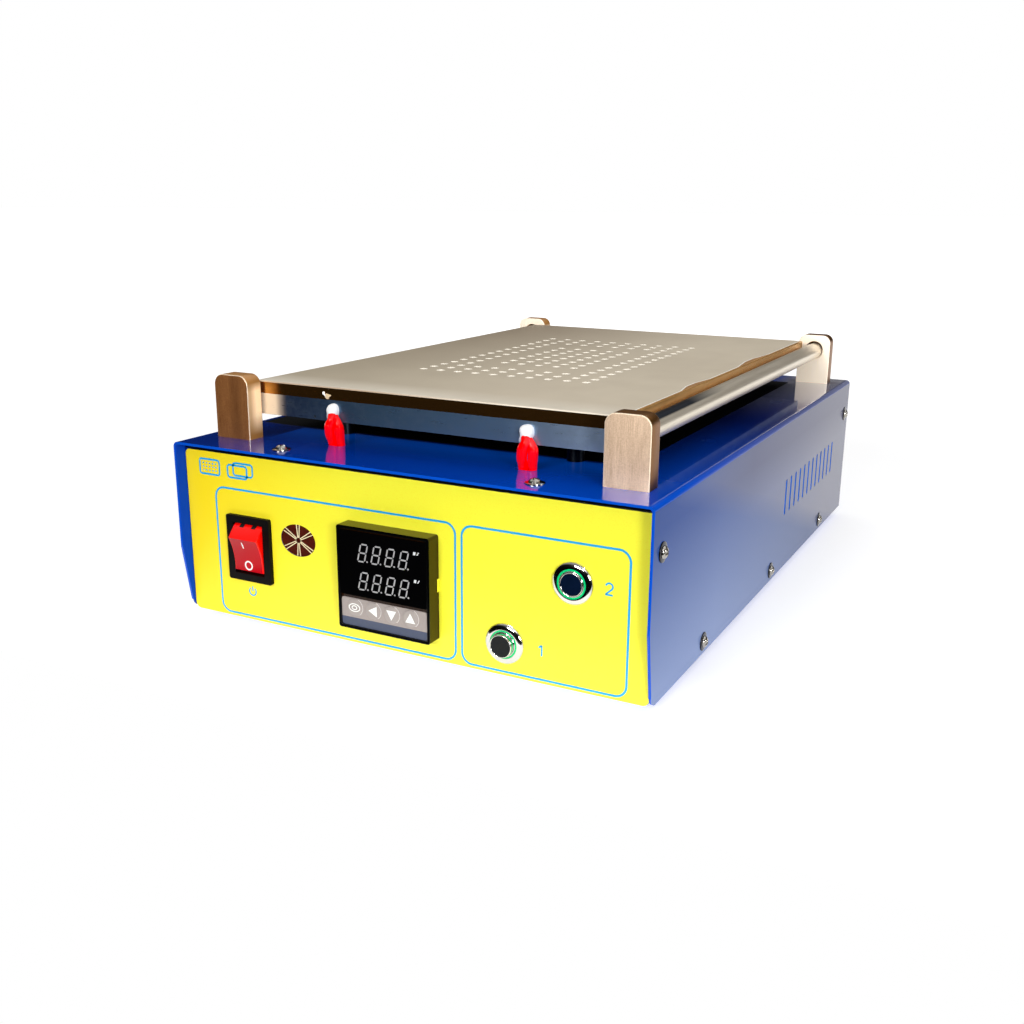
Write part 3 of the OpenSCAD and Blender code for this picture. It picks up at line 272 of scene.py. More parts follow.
# %% The world and the lamps
world = bpy.data.worlds.new("studio")
world.use_nodes = True
scene.world = world
sky = Graph(world.node_tree)
heading = sky.node("ShaderNodeTexCoord", out="Generated")
up = sky.node("ShaderNodeSeparateXYZ", None, {0: heading}, "Z")
rearward = sky.node("ShaderNodeSeparateXYZ", None, {0: heading}, "Y")
sky_stops = [(0.0, (0.004, 0.004, 0.005, 1)), (0.4, (0.008, 0.009, 0.012, 1)), (0.72, (1, 1, 1, 1))]
room_light = sky.node("ShaderNodeValToRGB", {"stops": sky_stops}, {0: up})
toward_rear = {"Value": rearward, "From Min": -0.45, "From Max": 0.15, "To Min": 0.25}
share = sky.node("ShaderNodeMapRange", None, toward_rear)
room_light = sky.node("ShaderNodeVectorMath", {"operation": "SCALE"}, {0: room_light, "Scale": share})
sky_strength = 1.25
plain_white = (1 / sky_strength,) * 3 + (1,)
seen = sky.node("ShaderNodeLightPath", out="Is Camera Ray")
background = world.node_tree.nodes["Background"]
background.inputs["Strength"].default_value = sky_strength
world.node_tree.links.new(sky.mix(seen, room_light, plain_white).socket, background.inputs["Color"])


def lamp(name, place, target, size, watts):
    """A square soft box at one point that faces another."""
    data = bpy.data.lights.new(name, "AREA")
    data.size = size
    data.energy = watts
    box = bpy.data.objects.new(name, data)
    box.location = place
    box.rotation_euler = (Vector(target) - Vector(place)).to_track_quat("-Z", "Y").to_euler()
    scene.collection.objects.link(box)


lamp("key_box", (0.9, -1.2, 1.5), (0, 0, 0.05), 0.8, 4)
lamp("front_box", (-0.25, -2.2, 0.88), (0, -0.1, 0.06), 0.5, 22)
lamp("corner_box", (1.35, -1.3, 0.45), (0, -0.05, 0.08), 0.45, 19)
lamp("near_box", (0.2, -1.2, 0.5), (0, -0.1, 0.06), 0.08, 1.6)
lamp("right_box", (2.0, 0.2, 0.5), (0, 0, 0.1), 0.35, 5)

# %% [markdown]
# ## The paint and the film
# The case is sprayed in a royal blue gloss. Sprayed paint is never a perfect mirror: it
# has a slight orange peel, and dust settles on what faces up. The reflections and shade
# that the photograph's room throws on the sides and the top can't be rebuilt lamp by
# lamp, so they are painted into the blue by the place on the case: broad slow gradients
# of painted light and painted reflection, a painted shadow under the plate and in the
# seam under the lip, and painted highlights on the cut edges. The yellow panel is a
# printed film under a velvet skin, so its colour is strong and its shine is broad; it is
# painted brighter to the right and carries a painted shadow under the lip.

# %% Blue gloss paint
lip_top, lip_low, kink_z = 6.2, 0.9, 33.0
lip_taper = (lip_top - lip_low) / kink_z
paint = Finish("blue_gloss_paint", "chassis top_cover", IOR=1.15, Coat_Roughness=0.05, Coat_IOR=1.5,
               Emission_Strength=1.0)
across, depth, height = paint.case_axes()
from_middle = across.size()
under_top, on_top = height < cover_top - 1.25, height > cover_top - 2
cut_edge = (depth < lip_taper * (kink_z - height).at_least(0) - lip_top + 0.12) * (height > 1)
slots = (from_middle < case_half - 0.1) * (depth > 190) * (depth < 330) * (height > 29) * (height < 54)
# The seam between the film and the lip is painted near-black: a painted shadow.
seam_painted_shadow = (height > 80.9) * under_top * (depth < 6) * (depth > -0.1) * (from_middle < case_half - 1.3)
inner_lip = (depth < -0.15) * (from_middle < case_half - 0.9) * under_top
flank = from_middle > case_half - 0.4
# Painted light on the sides: the blue darkens upward and to the rear, and above a slanting line a grey
# painted reflection takes over toward the rear.
side_near_painted_light = paint.layers((114, 132, 174), (height.step(6, 74), (0, 56, 128)),
                         (0.65 * depth.step(80, 260), (0, 38, 92)))
side_far_painted_reflection = paint.layers((72, 88, 136), (depth.step(45, 300), (116, 117, 133)),
                        (0.6 * height.step(52, 72) * depth.step(40, 130), (60, 60, 89)))
side_painted_light = paint.mix((height + 0.3 * depth + 6 * paint.noise(9, 3)).step(89, 103), side_near_painted_light, side_far_painted_reflection)

# %% The top of the case and the shadow painted under the plate
# Toward the right rear the top is painted grey: a painted reflection.
far_part = depth.step(180, 345)
far_painted_reflection = paint.mix(far_part * far_part, (0, 27, 110), (178, 178, 190))
right_reflection_strip = across.step(74, 88) * depth.step(30, 180) * (height > cover_top - 3)
# Under the plate the top is painted near-black and rough: a painted shadow.
painted_shadow_under_plate = depth.step(50.5, 54) * (across < 88) * (across > -116) * (depth < 326) * on_top
specks = paint.node("ShaderNodeTexVoronoi", None, {"Vector": paint.place(), "Scale": 85})
# The top is painted lighter toward the right as painted light. The cut edges, the slots' walls and the inner
# lips are painted bright blue as painted highlights, and the top's rolled side edge has a painted highlight
# that fades toward the rear into a grey painted reflection. The pale specks are dust.
blue = paint.layers(
    (0, 42, 136), (across.step(-112, 75), (2, 72, 194)), (right_reflection_strip, far_painted_reflection), (painted_shadow_under_plate, (0, 0, 1)),
    (flank, side_painted_light), (cut_edge.at_least(slots).at_least(inner_lip), (8, 78, 196)), (slots, (34, 112, 226)),
    (0.7 * (from_middle > 118) * on_top, paint.mix(depth.step(30, 210), (10, 76, 190), (104, 112, 156))),
    (inner_lip, (0, 64, 190)), (0.35 * (specks < 0.035) * (height > cover_top - 0.05), (190, 200, 225)),
    (seam_painted_shadow, (4, 4, 8)))
# A blue emission under the front of the heater block is painted light, a glow for the light that reaches in
# there.
bounce = depth.step(20, 42) * (1 - depth.step(50, 51.5)) * (from_middle < 88) * (height > cover_top - 1)
paint.use(Base_Color=blue, Emission_Color=paint.mix(bounce, (0, 0, 0), (0, 42, 104)),
          Roughness=0.08 + 0.06 * paint.noise(30, 3) + 0.45 * inner_lip + 0.6 * (seam_painted_shadow + painted_shadow_under_plate),
          Coat_Weight=(1 - flank) * (1 - painted_shadow_under_plate) * (1 - inner_lip) * 0.9)
paint.bump(paint.noise(650, 2), 10)
print("paint nodes:", len(paint.tree.nodes))

# %% Yellow printed film and its cyan print
film = Finish("yellow_velvet_film", "front_overlay")
across, depth, height = film.case_axes()
grain = film.noise(2600, 2)
# Painted light: the yellow is painted brighter to the right, and from 80.65 mm up it is near-black as a
# painted shadow under the cover's lip. The grain is the film's own.
yellow = film.layers((240, 213, 12), (across.step(-110, -20), (241, 237, 54)),
                     (0.5 * (grain - 0.5).step(0.06, 0.26), (236, 210, 16)), (height > 80.65, (4, 3, 2)))
film.use(Base_Color=yellow, Roughness=0.38 + 0.12 * grain)
film.bump(grain, 20)
cyan = Finish("cyan_print", Roughness=0.4)
cyan.use(Base_Color=cyan.mix(cyan.noise(1500), (0, 152, 216), (6, 164, 230)))
print("film nodes:", len(film.tree.nodes))

# %% [markdown]
# ## Metal finishes
# The plate is blasted and anodised a pale champagne, so its top is satin and its cut
# edges are a darker gold; along the right edge runs a wavy brown band whose inner rim
# carries a painted highlight. The plate's top is painted lighter to the front and the
# right and darker to the rear, as painted light, and its cut edges carry a painted
# highlight along the top and a painted golden reflection at the left end. The posts are
# brushed up and down before they are anodised. The heater block is bare aluminium from
# the saw and the mill, and its front mirrors the dark room, which a painted reflection,
# a ramp across its width with a cream end, stands for; its underside is painted black as
# painted shade. The rods, the screws and the button rims are plated; the rods carry a
# dark painted reflection, and the side screws are painted dark as painted shade. The
# posts' lit and shaded sides, their bright edges and the glow of the rear posts are
# painted light, mixed in by place like the gradients of the paint.

# %% Champagne plate
plate_low, plate_high = case_box("vacuum_plate")
plate = Finish("champagne_plate", "vacuum_plate")
across, depth, height = plate.case_axes()
flat = height > plate_high[2] - 0.03
bores = (across.size() < 60) * (height > plate_low[2] + 1) * (1 - flat)
bores = bores * (depth > plate_low[1] + 20) * (depth < plate_high[1] - 20)
# worn holds a wavy brown band along the right edge; the pale line at its inner rim is a painted highlight.
along = depth + 10 * plate.noise(60, 2, 0.5, (0, 1, 1))
narrowing = 2.2 * (along - 122).size().step(6, 22) + 2.5 * (along - 222).size().step(8, 30)
from_band = plate_high[0] - 5.8 - across + narrowing
worn = flat * (from_band < 0)
lines = plate.noise(1400, 2, 0.5, (1, 0.02, 1)).step(0.3, 0.7)
# The satin top is painted light: darker to the rear, lighter to the right and brightest along the front.
satin = plate.layers(
    (188, 175, 151), (depth.step(63.6, 293.6), (158, 141, 118)), (across.step(-90, 45), (224, 211, 188)),
    (0.75 * (1 - depth.step(24.6, 47.6)), (252, 243, 226)),
    (0.35 * plate.noise(11, 5, 0.65, (1, 0.6, 1)).step(0.25, 0.75), (176, 161, 138)),
    (worn, plate.mix(lines, (150, 104, 54), (196, 148, 88))),
    (flat * (1 - worn) * (from_band < 0.7), (255, 252, 240)))
on_flank = across.size() > plate_high[0] - 0.7
arris_highlight = (height > plate_high[2] - 0.52) * (1 - flat) * (1 - on_flank)
# The cut edges carry a painted golden reflection at the left end and a painted highlight along the top edge.
edge = plate.layers(
    (136, 90, 40), (plate.noise(400, 2, 0.5, (1, 1, 8)), (164, 114, 54)),
    (1 - across.step(-93, -82), (224, 168, 92)),
    (on_flank, plate.mix(plate.noise(60, 3), (196, 142, 78), (228, 182, 118))),
    (arris_highlight * (0.35 + 0.6 * across.step(-30, 50)), (255, 244, 224)), (bores, (226, 219, 204)))
plate.use(Base_Color=plate.mix(flat, edge, satin),
          Metallic=0.95 - 0.6 * flat - 0.85 * bores - 0.4 * on_flank - 0.6 * arris_highlight,
          Roughness=0.16 + flat * (0.26 + 0.12 * plate.noise(60, 3)) + 0.4 * bores)
plate.bump(plate.noise(3000, 2), 10)
print("plate nodes:", len(plate.tree.nodes))

# %% Brushed posts
post_nodes = ["post_front_left", "post_front_right", "post_rear_left", "post_rear_right"]
front_y, rear_y = case_box("post_front_left")[0][1], case_box("post_rear_left")[0][1]
brushed = Finish("brushed_bronze_posts", " ".join(post_nodes), Emission_Strength=1.0)
across, depth, height = brushed.case_axes()
on_right, at_rear = across > 0, depth > (front_y + rear_y) / 2
on_left, at_front = 1 - on_right, 1 - at_rear
deep = depth - front_y - at_rear * (rear_y - front_y)
skin = (deep > 0.48) * (deep < 9.52)
face = 1 - skin
rounded_edge_highlight = (deep > 0.05) * (deep < 0.48) * at_front
lines = brushed.noise(3600, 3, 0.6, (1, 1, 0.03)).step(0.3, 0.7)
specks = brushed.noise(1900, 3, 0.7).step(0.32, 0.68)
grain = 0.4 * lines + 0.3 * brushed.noise(150, 3, 0.6, (1, 1, 0.06)).step(0.3, 0.7) + 0.3 * specks
# Painted light on the posts: the right posts' faces are painted lighter and the rear faces pale with a
# painted glow; the left posts' flanks carry a bright painted band, the lit one also a painted glow, and the
# right flanks are painted darker. The rounded front edges carry a painted highlight. The left front face has
# a darker vertical streak.
streak = 1 - (across + 98.5).size().step(1, 4.5)
lit = height.step(87, 96) * (1 - height.step(108, 112)) * (0.35 + 0.65 * deep.step(2, 6))
faces = brushed.layers(
    (126, 74, 34), (grain, (196, 132, 76)), (0.35 * streak, (84, 46, 16)),
    (on_right, brushed.mix(grain, (176, 142, 110), (250, 220, 188))),
    (at_rear, brushed.mix(grain, (238, 222, 200), (252, 240, 222))))
sides = brushed.layers(
    (172, 120, 60), (lit, brushed.mix(grain, (252, 220, 164), (255, 240, 206))),
    (on_right, brushed.mix(grain, (112, 72, 24), (148, 98, 40))))
tone = brushed.layers(faces, (skin, sides), (rounded_edge_highlight * 0.8, (255, 238, 208)))
dull = 0.65 * at_rear * face + 0.85 * skin * on_left + face * at_front * (0.2 + 0.35 * on_right)
shine = brushed.mix(lit * skin * on_left * at_front, (0, 0, 0), (150, 118, 88))
brushed.use(Base_Color=tone, Metallic=0.8 + 0.15 * skin - dull - 0.2 * rounded_edge_highlight,
            Emission_Color=brushed.mix(at_rear * face, shine, (134, 124, 110)),
            Roughness=0.3 + 0.1 * lines + 0.06 * specks)
brushed.bump(lines + specks, 10)
print("post nodes:", len(brushed.tree.nodes))

# %% Bare aluminium
block_low = case_box("heater_block")[0]
bare = Finish("bare_milled_aluminium", "heater_block relay_heatsink power_supply")
across, depth, height = bare.case_axes()
marks = bare.noise(900, 3, 0.6, (0.1, 1, 1))
scuffs = bare.noise(140, 6, 0.75).step(0.35, 0.75)
# below marks the block's underside, painted black as painted shade; end marks a cream painted reflection of
# the post at the left end of the front.
below = (height - block_low[2]).size() < 0.05
ahead = (depth < block_low[1] + 0.05) * (height > block_low[2] - 0.01)
room_stops = [(0.06, ink(236, 212, 180)), (0.095, ink(50, 68, 102)), (0.35, ink(80, 112, 140)),
              (0.71, ink(114, 146, 182)), (0.9, ink(176, 200, 226))]
room = bare.node("ShaderNodeValToRGB", {"stops": room_stops}, {0: across.step(-95, 95)})
end = ahead * (1 - across.step(-84, -78))
milled = bare.layers((98, 116, 134), (0.2 * marks + 0.6 * scuffs, (150, 168, 188)),
                     (ahead * (1.05 - 0.4 * scuffs), room), (end, room), (below, (4, 4, 5)))
bare.use(Base_Color=milled, Metallic=0.78 - 0.7 * end, Roughness=0.24 + 0.1 * marks + 0.5 * below)
bare.bump(marks, 8)

# %% Guide rods
rod_low, rod_high = case_box("guide_rod_left")
rods = Finish("guide_rod_steel", "guide_rod_left guide_rod_right")
across, depth, height = rods.case_axes()
drawn = rods.noise(700, 3, 0.6, (1, 0.02, 1))
over_middle = height - (rod_low[2] + rod_high[2]) / 2
# A dark painted reflection runs along the top of the rods' front part.
dark_painted_reflection = over_middle.step(3.5, 4) * (1 - depth.step(83.6, 133.6))
steel = rods.layers((200, 186, 164), (drawn, (236, 226, 208)), (dark_painted_reflection, (30, 36, 46)))
rods.use(Base_Color=steel, Metallic=0.62 + 0.1 * drawn, Roughness=0.24 + 0.14 * drawn)


# %% Plated metals
def plated(name, solids, first, second, low, spread, scale):
    """A plated finish: two near tones, and a roughness that runs from low by spread."""
    finish = Finish(name, solids, Metallic=1.0)
    smear = finish.noise(scale, 3)
    finish.use(Base_Color=finish.mix(smear, first, second), Roughness=low + spread * smear)
    return finish


nickel, shadow = (172, 168, 160), (40, 40, 44)
for row in [
    ("chromed_shaft", "pump_shaft", (214, 206, 194), (238, 231, 220), 0.1, 0.16, 70),
    ("dark_pillars", "plate_pillars", (14, 18, 22), (30, 34, 38), 0.3, 0.16, 300),
    ("polished_button_rim", "button_housings inlet_pins", (206, 204, 202), (226, 224, 220), 0.07, 0.04, 20),
    ("brass_barb", "vacuum_barb", (196, 158, 78), (220, 184, 104), 0.2, 0.15, 300),
    ("motor_can_steel", "heater_cartridges pump_motor", (166, 168, 170), (196, 198, 198), 0.25, 0.2, 200),
    ("probe_sheath", "thermocouple", (150, 150, 152), (180, 180, 182), 0.25, 0.2, 300),
]:
    plated(*row)
screws = plated("nickel_screws", "cover_screws small_screws plate_screws upright_screws switch_tabs "
                "button_nuts pump_bracket", nickel, nickel, 0.08, 0.12, 600)
# The heads of the screws in the case's sides are painted dark as painted shade.
at_cover = (screws.case_axes()[0].size() - case_half).size() < 0.7
screws.use(Base_Color=screws.mix(at_cover, nickel, shadow))
print("finishes so far:", len(finishes))

# %% [markdown]
# ## Plastics, rubber and the rest
# A moulding takes its skin from the tool: a fine spark grain on housings, a mirror on
# lenses and caps. One recipe with two near colours, a shine and a grain covers most of
# them, so they fit in a table. The red rocker and the red sleeves are given a faint red
# emission, a painted glow. The recesses of the screws and the rocker's notches wear a
# near-black finish as painted shade, the keys' crescents a painted highlight, and the
# sides of the black bezel a warm painted reflection of the yellow.


# %% Moulded plastics
def moulded(name, solids, first, second, low, spread, grain=1800, depth=10, specular=0.5, glow=0):
    """A moulding: two near colours, a roughness from low by spread, and a skin of grain
    lumps to a metre, depth micrometres high."""
    finish = Finish(name, solids, Specular_IOR_Level=specular)
    if glow:
        finish.shader.inputs["Emission Color"].default_value = (1, 0, 0, 1)
        finish.shader.inputs["Emission Strength"].default_value = glow
    skin = finish.noise(grain, 2)
    finish.use(Base_Color=finish.mix(finish.noise(grain / 12, 3), first, second),
               Roughness=low + spread * skin)
    finish.bump(skin, depth)
    return finish


for row in [
    ("dark_lens", "controller_lens", (2, 2, 2), (4, 4, 5), 0.05, 0.03, 500, 1, 0.02),
    ("white_print", "", (232, 232, 230), (246, 246, 244), 0.4, 0.1),
    ("key_dome", "key_set key_shift key_down key_up", (150, 141, 137), (162, 153, 149), 0.36, 0.1),
    ("key_rim_shine", "", (196, 190, 188), (212, 206, 204), 0.3, 0.1),
    ("black_switch", "switch_housing inlet", (9, 7, 7), (15, 12, 12), 0.34, 0.14, 1400, 20, 0.06),
    ("button_cap", "button_1_cap", (4, 6, 10), (8, 11, 16), 0.12, 0.08, 1800, 10, 0.2),
    ("navy_button_cap", "button_2_cap", (2, 12, 30), (8, 22, 48), 0.12, 0.08, 1800, 10, 0.2),
    ("red_rocker_body", "power_rocker", (236, 4, 0), (250, 14, 4), 0.12, 0.08, 500, 5, 0.3, 0.12),
    ("red_rocker_face", "", (156, 0, 14), (184, 4, 22), 0.16, 0.08, 500, 5, 0.15),
    ("green_ring", "button_rings", (0, 186, 104), (18, 214, 130), 0.15, 0.1),
    ("cream_grille", "buzzer_grille", (232, 218, 172), (246, 234, 194), 0.4, 0.15),
    ("maroon_buzzer", "buzzer", (20, 2, 0), (92, 22, 6), 0.3, 0.2, 9000, 10, 0.1),
    ("foot_rubber", "rubber_feet lead_bushings pump_feet", (24, 24, 24), (34, 34, 34), 0.7, 0.2, 1500, 50),
    ("bracket_plastic", "controller_bracket", (226, 176, 30), (236, 188, 44), 0.4, 0.15),
    ("dark_plastic", "controller_terminals fuse_drawer", (36, 38, 40), (48, 50, 52), 0.45, 0.15),
    ("relay_case", "relay", (222, 214, 190), (232, 226, 204), 0.4, 0.15),
    ("terminal_block", "terminal_strip", (70, 40, 22), (86, 52, 30), 0.4, 0.15),
    ("brown_wire", "mains_wires", (104, 54, 26), (122, 66, 34), 0.35, 0.1),
    ("pump_head_plastic", "pump_head", (70, 78, 82), (84, 92, 96), 0.4, 0.15),
    ("pump_cap_plastic", "pump_cap", (226, 226, 220), (238, 238, 234), 0.35, 0.15),
    ("circuit_board", "display_board power_supply_board", (16, 70, 34), (26, 92, 48), 0.35, 0.2, 600, 20),
    ("silicone_hose", "vacuum_hose", (214, 214, 208), (228, 228, 222), 0.35, 0.1),
    ("fuse_glass", "fuse", (168, 190, 196), (188, 206, 210), 0.06, 0.05),
    ("red_silicone_sleeve", "heater_leads", (236, 0, 0), (250, 0, 0), 0.05, 0.05, 600, 10, 0.35, 0.22),
    ("white_sealant", "sealant_plugs", (240, 240, 238), (252, 252, 250), 0.5, 0.25, 700, 100),
    ("soiled_sealant", "", (196, 164, 120), (232, 208, 170), 0.5, 0.2, 2400, 100),
    ("tag_print", "", (206, 208, 210), (226, 228, 230), 0.4, 0.1),
    ("recess_painted_shade", "", (8, 4, 4), (16, 10, 8), 0.5, 0.1),
    ("unlit_segments", "", (138, 138, 140), (176, 176, 178), 0.45, 0.1, 4000),
]:
    moulded(*row)
black, warm_painted_reflection = (3, 3, 3), (34, 15, 1)
bezel = moulded("black_gloss_bezel", "controller_case", black, black, 0.1, 0.1, 900, 4, 0.3)
# Behind its face the case is painted a warm brown: a painted reflection of the yellow panel.
behind_face = bezel.case_axes()[1] > case_box("controller_case")[0][1] + 0.4
bezel.use(Base_Color=bezel.mix(behind_face, black, warm_painted_reflection))
strip = Finish("key_strip", "key_film")
light_grey = strip.mix(strip.noise(900), (146, 136, 132), (158, 148, 144))
slate = strip.mix(strip.noise(900), (58, 66, 88), (66, 74, 98))
strip.use(Base_Color=strip.mix(strip.case_axes()[2] < 15.5, light_grey, slate),
          Roughness=0.42 + 0.1 * strip.noise(2000))
print("finishes so far:", len(finishes))

# %% [markdown]
# ## Surfaces from grids of points
# Every new piece is a sheet of points with rows and columns, worked out as one array. A
# ring of points carried along a path makes a tube, a sleeve or a printed line; one
# carried from the inside of a face to its outside makes a cap with a rounded edge. The
# squares between neighbouring rows are numbered by one function, and another joins the
# parts of a piece and turns the faces outward.


# %% Squares between the rows of a grid
def squares_of(rows, columns, ring=False):
    """Numbers the four corners of each square; columns always close, rows if ring is set."""
    row = np.arange(rows if ring else rows - 1)[:, None]
    column = np.arange(columns)[None, :]
    further, across = (row + 1) % rows, (column + 1) % columns
    corners = [row * columns + column, row * columns + across,
               further * columns + across, further * columns + column]
    return np.stack(corners, -1).reshape(-1, 4)


def shell(grid, ring=False):
    """Points in metres and faces of a grid (rows, columns, 3) of the case's millimetres.
    The first and last rows are closed by flat faces unless the rows form a ring."""
    rows, columns = grid.shape[:2]
    faces = list(squares_of(rows, columns, ring))
    if not ring:
        faces += [np.arange(columns)[::-1], np.arange(columns) + (rows - 1) * columns]
    return (grid * 0.001 + case_zero).reshape(-1, 3), faces


def volume_of(points, faces):
    """Six times the volume, summed over fans of triangles; below 0 if turned inside out."""
    total = 0.0
    for size in {len(face) for face in faces}:
        group = points[np.array([face for face in faces if len(face) == size])]
        for corner in range(1, size - 1):
            total += np.einsum("ij,ij->", group[:, 0], np.cross(group[:, corner], group[:, corner + 1]))
    return total


# %% Joining parts into a piece
def faces_of(parts, first, stop=None):
    """The numbers that the faces of parts[first:stop] have once all the parts are joined."""
    start = sum(len(part[1]) for part in parts[:first])
    return np.arange(start, start + sum(len(part[1]) for part in parts[first:stop]))


def add_piece(name, parts, finish, body, crease=40, others=()):
    """Joins parts of points and faces into a piece, turned outward, and hangs it on a body.
    Each of the others is a finish and the numbers of the faces that wear it."""
    points = np.concatenate([part[0] for part in parts])
    starts = np.cumsum([0] + [len(part[0]) for part in parts])
    faces = [(face + start).tolist() for part, start in zip(parts, starts) for face in part[1]]
    if volume_of(points, faces) < 0:
        faces = [face[::-1] for face in faces]
    mesh = bpy.data.meshes.new(name)
    mesh.from_pydata(points.tolist(), [], faces)
    mesh.shade_smooth()
    mesh.set_sharp_from_angle(angle=math.radians(crease))
    worn = np.zeros(len(faces), int)
    for number, (title, chosen) in enumerate([(finish, []), *others]):
        mesh.materials.append(finishes[title])
        worn[chosen] = number
    mesh.polygons.foreach_set("material_index", worn)
    piece = bpy.data.objects.new(name, mesh)
    scene.collection.objects.link(piece)
    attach(piece, body)
    print(name, "has", len(faces), "faces")
    return piece


print("a 3 by 4 tube has", len(squares_of(3, 4)), "squares")


# %% Lines and loops that the pieces share
def full_turn(steps):
    return np.linspace(0, 2 * np.pi, steps, endpoint=False)


def unit(vectors):
    """Each row's vector, made one long."""
    return vectors / np.linalg.norm(vectors, axis=-1, keepdims=True)


def walked(line):
    """The distance along a line from its start to each of its points."""
    return np.concatenate([[0], np.cumsum(np.linalg.norm(np.diff(line, axis=0), axis=1))])


def at_depth(flat, y):
    """Gives the points of a flat line (n, 2) in x and z their place behind the panel's face."""
    return np.stack([flat[:, 0], 0 * flat[:, 0] + y, flat[:, 1]], 1)


def arc(x, z, radius, start, end, steps=40):
    """Part of a circle, from one angle to another in degrees."""
    turn = np.radians(np.linspace(start, end, steps))
    return np.stack([x + radius * np.cos(turn), z + radius * np.sin(turn)], 1)


def rounded_frame(left, low, right, high, radius, steps=10):
    """A closed line round a rectangle with quarter-circle corners."""
    centres = [(right - radius, high - radius), (left + radius, high - radius),
               (left + radius, low + radius), (right - radius, low + radius)]
    return np.concatenate([arc(x, z, radius, 90 * k, 90 * k + 90, steps)
                           for k, (x, z) in enumerate(centres)])


def ovals(x, z, rows, sides=48):
    """Loops round an axis through the panel at x and z, one for each row of half width, half
    height and y: the cosine of the turn times the first, its sine times the second."""
    wide, high, y = np.asarray(rows, float).T[:, :, None]
    turn = full_turn(sides)
    return np.stack([x + wide * np.cos(turn), y + 0 * turn, z + high * np.sin(turn)], -1)


def plate_of(outline, face_y, height=0.03):
    """A thin plate with this outline (n, 2), standing off a face of the panel."""
    back = at_depth(outline, face_y)
    return shell(np.stack([back, back - (0, height, 0)]))


print("a quarter of a circle in 3 steps:", arc(0, 0, 1, 0, 90, 3).round(2).tolist())

# %% [markdown]
# ## The printed panel
# The film carries two cyan frames round the control groups and a mark beside each
# control. Silk-screen ink lies on the film as a layer a few hundredths of a millimetre
# thick with soft ends. A ribbon gives that: a line on the panel, a width, and half-round
# ends made by narrowing the ribbon along a quarter circle.


# %% A flat ribbon along a line on the panel
def ribbon(line, width, face_y=0.0, height=0.04, ring=False):
    """Four corners round each point of a line (n, 2) in x and z: half the width to each
    side along the line's normal, at the face and one ink height before it. At open ends
    the half width follows a quarter circle, root of (2 w s - s squared), so they are round."""
    along = unit(np.roll(line, -1, 0) - np.roll(line, 1, 0) if ring else np.gradient(line, axis=0))
    half = np.full(len(line), width / 2)
    if not ring:
        done = walked(line)
        near = np.minimum(np.minimum(done, done[-1] - done), width / 2)
        half = np.maximum(np.sqrt(np.maximum(width * near - near ** 2, 0)), width * 0.02)
    beside = np.stack([-along[:, 1], along[:, 0]], 1) * half[:, None]
    front_y = face_y - height
    corners = [at_depth(line + side * beside, y)
               for side, y in ((1, face_y), (1, front_y), (-1, front_y), (-1, face_y))]
    return shell(np.stack(corners, 1), ring)


def stroke(*corners, steps=24):
    """An open line through corners, filled with even steps."""
    corners = np.array(corners, float)
    done = walked(corners)
    even = np.linspace(0, done[-1], steps * (len(corners) - 1) + 1)
    return np.stack([np.interp(even, done, corners[:, k]) for k in (0, 1)], 1)


# %% The frames, the figures and the signs
mark_width, badge_width = 0.72, 0.95
one, two, power, badge = np.array([(71.3, 14.7), (100.9, 47.0), (-82.9, 14.4), (-105.0, 73.2)])
frame_width = 1.0
frames = [(-102.2, 1.7, 29.9, 64.1, 5), (33.1, 1.7, 109.7, 64.1, 5)]
prints = [ribbon(rounded_frame(*sides), frame_width, ring=True) for sides in frames]
marks = [one + stroke((-1.3, 1.2), (0.2, 2.4)), one + stroke((0.2, 2.5), (0.2, -2.5)),
         two + np.concatenate([arc(0, 1, 1.5, 170, -30), stroke((1.2, 0.1), (-1.6, -2.4))[1:]]),
         two + stroke((-1.7, -2.45), (1.7, -2.45)),
         power + arc(0, 0, 2.0, 125, 415), power + stroke((0, 2.7), (0, 0.1))]
prints += [ribbon(line, mark_width) for line in marks]
prints += [ribbon(badge + rounded_frame(-6, -3.6, 6, 3.6, 1.2, 6), badge_width, ring=True)]
prints += [ribbon(badge + arc(1.9 * column, 1.7 * row, 0.22, 0, 324, 8), 0.44, ring=True)
           for column in range(-2, 3) for row in (-1, 0, 1)]
prints += [ribbon(badge + rounded_frame(x, z, x + 11.5, z + 6, 1.4, 6), badge_width, ring=True)
           for x, z in ((11, -3.6), (14.4, -2.4))]
add_piece("panel_print", prints, "cyan_print", "machine")

# %% [markdown]
# ## The heater leads and their sealant
# Each heater cartridge ends in two stiff wires in glossy red silicone sleeve. They leave
# the bore under a cap of white sealant, belly out side by side and go down through the
# cover to the terminal strip. A tube with a changing thickness is carried along a smooth
# line through the measured points.


# %% A smooth line and a tube round it
def smooth_line(points, steps):
    """Passes through every point: on each stretch the curve is the cubic whose slope at an
    end is half the difference of the points on either side of it."""
    points = np.asarray(points, float)
    padded = np.concatenate([2 * points[:1] - points[1:2], points, 2 * points[-1:] - points[-2:-1]])
    before, start, end, after = (p[:, None] for p in (padded[:-3], padded[1:-2], padded[2:-1], padded[3:]))
    t = np.linspace(0, 1, steps, endpoint=False)[None, :, None]
    curve = 0.5 * (2 * start + (end - before) * t + (2 * before - 5 * start + 4 * end - after) * t ** 2
                   + (3 * start - before - 3 * end + after) * t ** 3)
    return np.concatenate([curve.reshape(-1, points.shape[1]), points[-1:]])


def tube(path, radius, sides):
    """A ring of points round each point of a path (n, 3). The ring's first direction is
    sideways, with its part along the path taken off."""
    along = unit(np.gradient(path, axis=0))
    first = unit(np.array([1.0, 0, 0]) - along * along[:, :1])
    turn = full_turn(sides)[None, :, None]
    ring = np.cos(turn) * first[:, None] + np.sin(turn) * np.cross(along, first)[:, None]
    return shell(path[:, None] + ring * radius[:, None, None])


